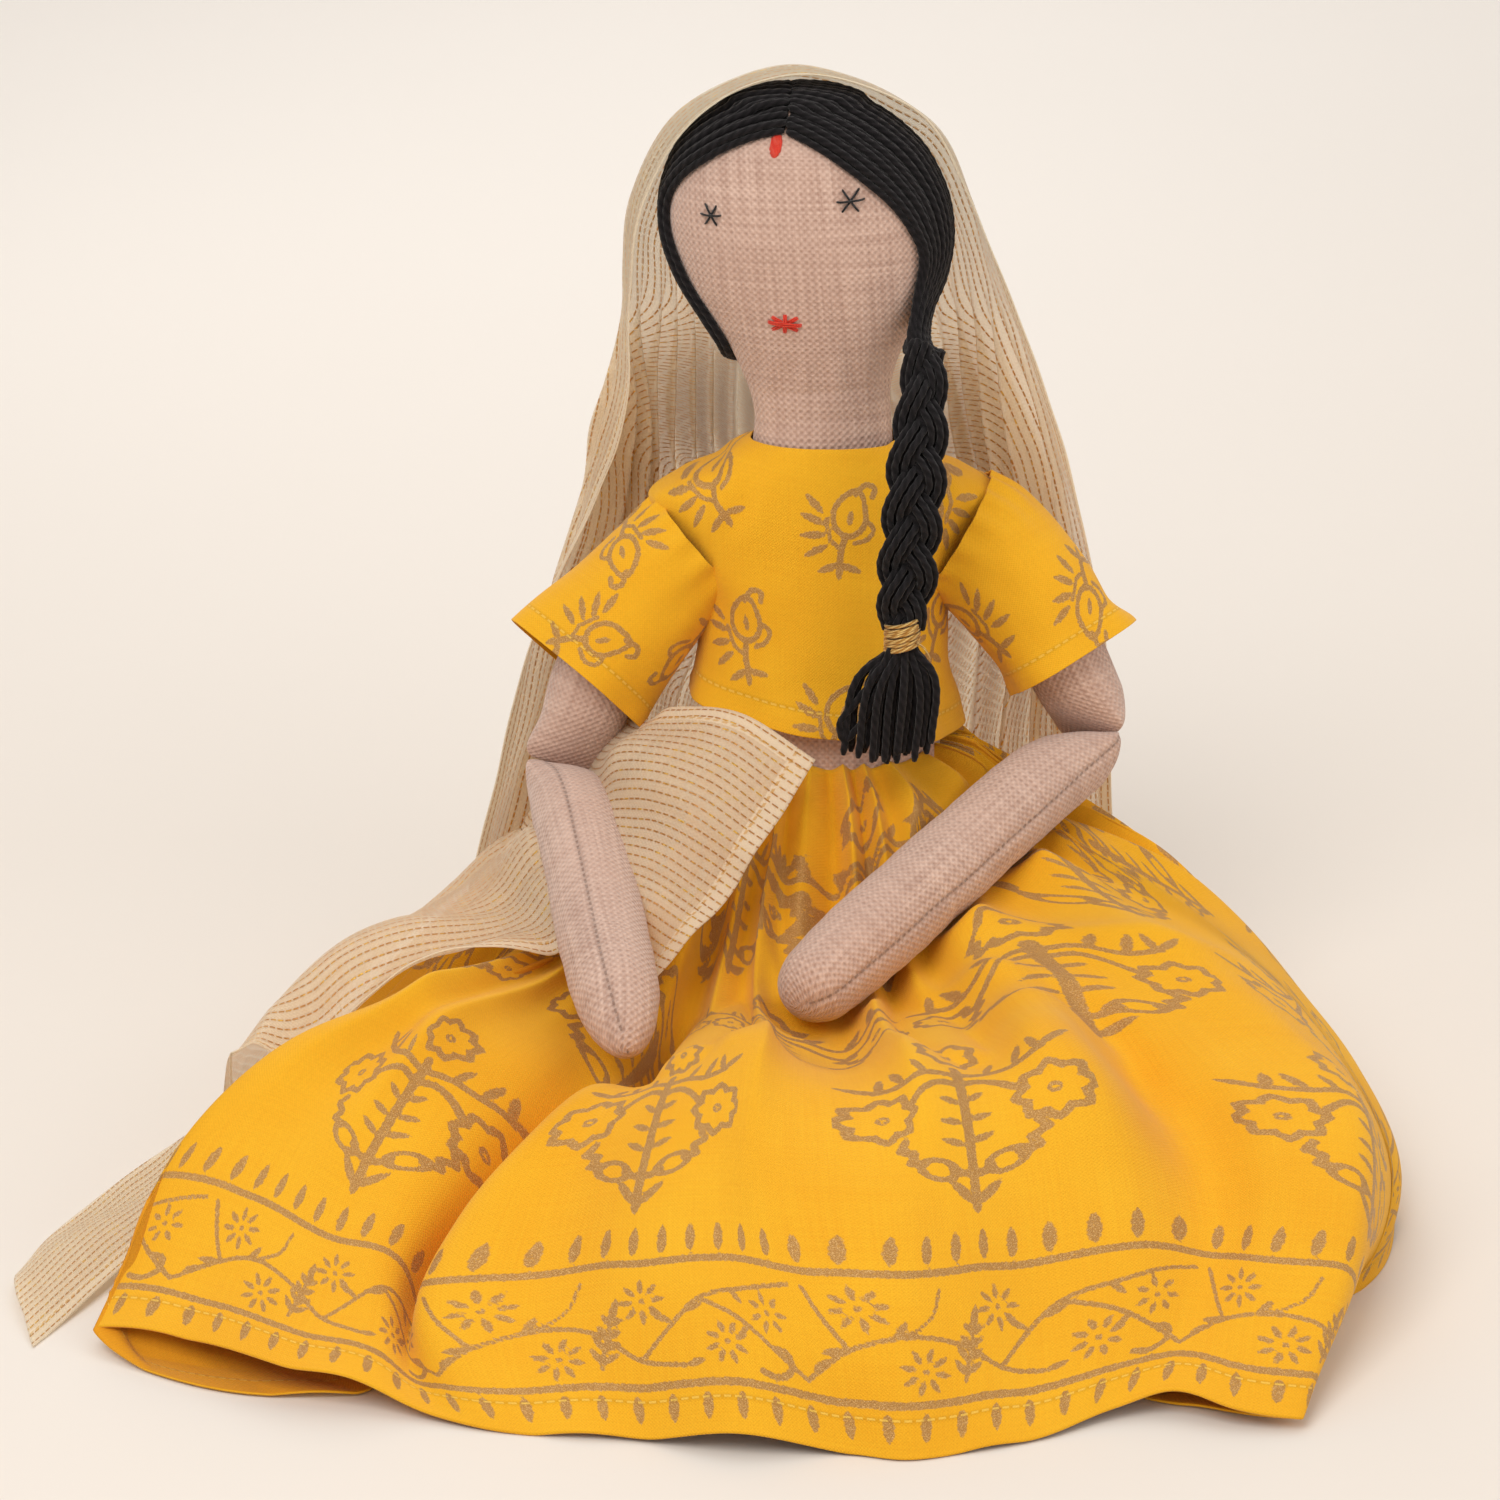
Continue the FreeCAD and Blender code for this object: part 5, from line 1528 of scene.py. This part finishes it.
SLEEVES = {
    "right": dict(
        rings=[((-33, 8.6, 137.5), (-22, -2, 27), 14.2, 19), ((-39.5, 8, 132), (-24, -2, 27), 15.2, 19),
               ((-51.5, 4.5, 119.5), (-27, 3, 26), 16.4, 19.3), ((-61, 1.5, 110), (-29, 6, 25), 16.0, 20.2),
               ((-66.5, -1.2, 104), (-30, 9, 24), 15.4, 21.2)],
        sprigs=((6, 36, 150), (-22, 20, 20), (20, 12, 80), (48, 30, 200), (-50, 30, 60))),
    "left": dict(
        rings=[((35, 8.4, 141), (17, 2, 30), 14.2, 19), ((42, 8.2, 137), (19, 2, 29), 15.2, 18.6),
               ((54, 6, 124), (22, 4, 25), 15.6, 18.0), ((61, 3.5, 114), (23, 6, 21), 15.2, 17.4),
               ((65.5, 1.4, 107), (24, 8, 18), 15.6, 18.2)],
        sprigs=((-16, 17, 170), (14, 36, 60), (40, 14, 20), (-46, 30, 110))),
}


def make_sleeve(side):
    info = SLEEVES[side]
    columns, rows = ((260, 140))
    centres = np.array([r[0] for r in info["rings"]], float)
    long_axis = unit(np.array([r[1] for r in info["rings"]], float))
    heading = unit(np.gradient(centres, axis=0))
    long_axis = unit(long_axis - heading * (long_axis * heading).sum(axis=1, keepdims=True))
    across = np.cross(heading, long_axis)
    sizes = np.array([(r[2], r[3]) for r in info["rings"]], float)
    at = np.linspace(0, 1, len(centres))
    fine = np.linspace(0, 1, rows)
    middle, length_dir, depth_dir = (spline(at, f, fine) for f in (centres, long_axis, across))
    deep, wide = spline(at, sizes, fine).T
    theta = (np.arange(columns) / columns - 0.5) * TAU
    front = np.sign(depth_dir[0, 1]) * -1
    s, c = np.sin(theta), np.cos(theta) * front
    p = middle[:, None] + length_dir[:, None] * (wide[:, None] * s)[..., None]
    p = p + depth_dir[:, None] * (deep[:, None] * c)[..., None]
    out = unit(p - middle[:, None])
    seed = 71 if side == "right" else 72
    run = run_along(p, 0)
    wrinkle = noise(np.stack([np.broadcast_to(theta[None] * 17, run.shape), run * 0.6], axis=-1), seed, 22, 3)
    gather = 0.5 * np.cos(14 * theta[None] + 0.6) * (1 - steps(0.0, 0.4, fine))[:, None]
    wave = 1.1 * np.cos(4 * theta[None] + (0.4 if side == "right" else 2.2)) * steps(0.5, 1.0, fine)[:, None]
    if side == "left":
        open_out = np.exp(-((theta[None] - math.pi / 2) / 0.5) ** 2) * steps(0.72, 1.0, fine)[:, None]
        wave = wave + 3.2 * open_out
    p = p + out * (0.8 * wrinkle + gather + wave)[..., None]
    run = run_along(p, 0)
    u = ring_lengths(p)
    ink = stamp_sprigs(u, run, info["sprigs"])
    from_hem = run[-1:] - run
    v = np.concatenate([from_hem, from_hem[:, :1]], axis=1) + 2.2
    pile = Pile()
    normal = grid_normals(p, True)
    normal = normal * np.sign((normal * out).sum(axis=-1).mean())
    cloth_slab(pile, p, normal, 0.5, u, v, True, ink)
    obj = pile.make(f"blouse_{side}_sleeve", [PRINTED, PLAIN_YELLOW])
    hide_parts(f"{side}_sleeve")
    sign = -1 if side == "right" else 1
    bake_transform(obj, "torso", f"{side}_upper_arm", start=(sign * 0.036, 0.0085, 0.141),
             end=(sign * 0.056, 0.0035, 0.118))


make_bodice()
make_sleeve("right")
make_sleeve("left")

# ---- camera, floor and light -------------------------------------------------------------


def aim(obj, place, look, up_hint):
    """Put a camera or lamp at a place in mm and turn it to look at another."""
    ahead = unit(look - place)
    right = unit(np.cross(ahead, up_hint))
    up = np.cross(right, ahead)
    matrix = np.eye(4)
    matrix[:3, 0], matrix[:3, 1], matrix[:3, 2], matrix[:3, 3] = right, up, -ahead, place * MM
    obj.matrix_world = Matrix(matrix.tolist())


def make_stage():
    camera = bpy.data.cameras.new("camera")
    camera.sensor_width = 36
    camera.lens = 36 / 2 / math.tan(math.radians(22.9) / 2)
    camera.clip_end = 20
    obj = bpy.data.objects.new("camera", camera)
    bpy.context.scene.collection.objects.link(obj)
    aim(obj, vec(-20, -939.7, 424), vec(-20, 0, 82), vec(0, 0, 1))
    bpy.context.scene.camera = obj

    floor = Graph("floor", rough=0.85, specular=0.1)
    split = floor.node("ShaderNodeSeparateXYZ")
    floor.put(split.inputs[0], floor.place())
    # Painted light: the sweep's colour grows lighter towards the back wall as a painted fall-off of the
    # light, with a little random tone.
    tone = floor.math("MULTIPLY_ADD", floor.noise(floor.place(), 3.0, 2.0), 0.1, split.outputs[1])
    floor.color(floor.mix(floor.range(tone, 0.2, 1.2), linear(232, 226, 219), linear(250, 247, 243)))
    side = np.linspace(-2500, 2500, 21)
    run = np.linspace(0, 1, 61)
    depth = np.interp(run, [0, 0.45, 0.75, 1], [-1800, 900, 1500, 1600])
    rise = np.interp(run, [0, 0.45, 0.75, 1], [-0.3, -0.3, 180, 1800])
    for _ in range(60):
        depth[1:-1] = (depth[:-2] + 2 * depth[1:-1] + depth[2:]) / 4
        rise[1:-1] = np.maximum((rise[:-2] + 2 * rise[1:-1] + rise[2:]) / 4, -0.3)
    p = np.stack(np.broadcast_arrays(side[None], depth[:, None], rise[:, None]), axis=-1)
    pile = Pile()
    pile.grid(p, p[..., 0], p[..., 1])
    pile.make("floor_sweep", [floor.material])

    def lamp(name, place, look, size, power, color):
        light = bpy.data.lights.new(name, "AREA")
        light.shape = "RECTANGLE"
        light.size, light.size_y = size
        light.energy = power
        light.color = color
        obj = bpy.data.objects.new(name, light)
        bpy.context.scene.collection.objects.link(obj)
        aim(obj, vec(*place), vec(*look), vec(0, 0.01, 1))

    lamp("key", (-500, -900, 1300), (0, 0, 80), (0.9, 0.9), 11.6, (1.0, 0.98, 0.95))
    lamp("fill", (1000, -800, 700), (0, 0, 80), (1.2, 1.0), 4.0, (1.0, 0.965, 0.92))
    lamp("top", (100, 300, 1500), (0, 0, 60), (1.4, 1.4), 5.0, (1.0, 0.98, 0.95))
    lamp("back", (-250, 900, 800), (0, 40, 140), (0.8, 0.6), 1.8, (1.0, 0.97, 0.93))

    world = bpy.data.worlds.new("studio")
    world.use_nodes = True
    back = world.node_tree.nodes["Background"]
    back.inputs[0].default_value = linear(255, 247, 240)
    back.inputs[1].default_value = 0.49
    bpy.context.scene.world = world
    bpy.context.scene.view_settings.view_transform = "Standard"


make_stage()
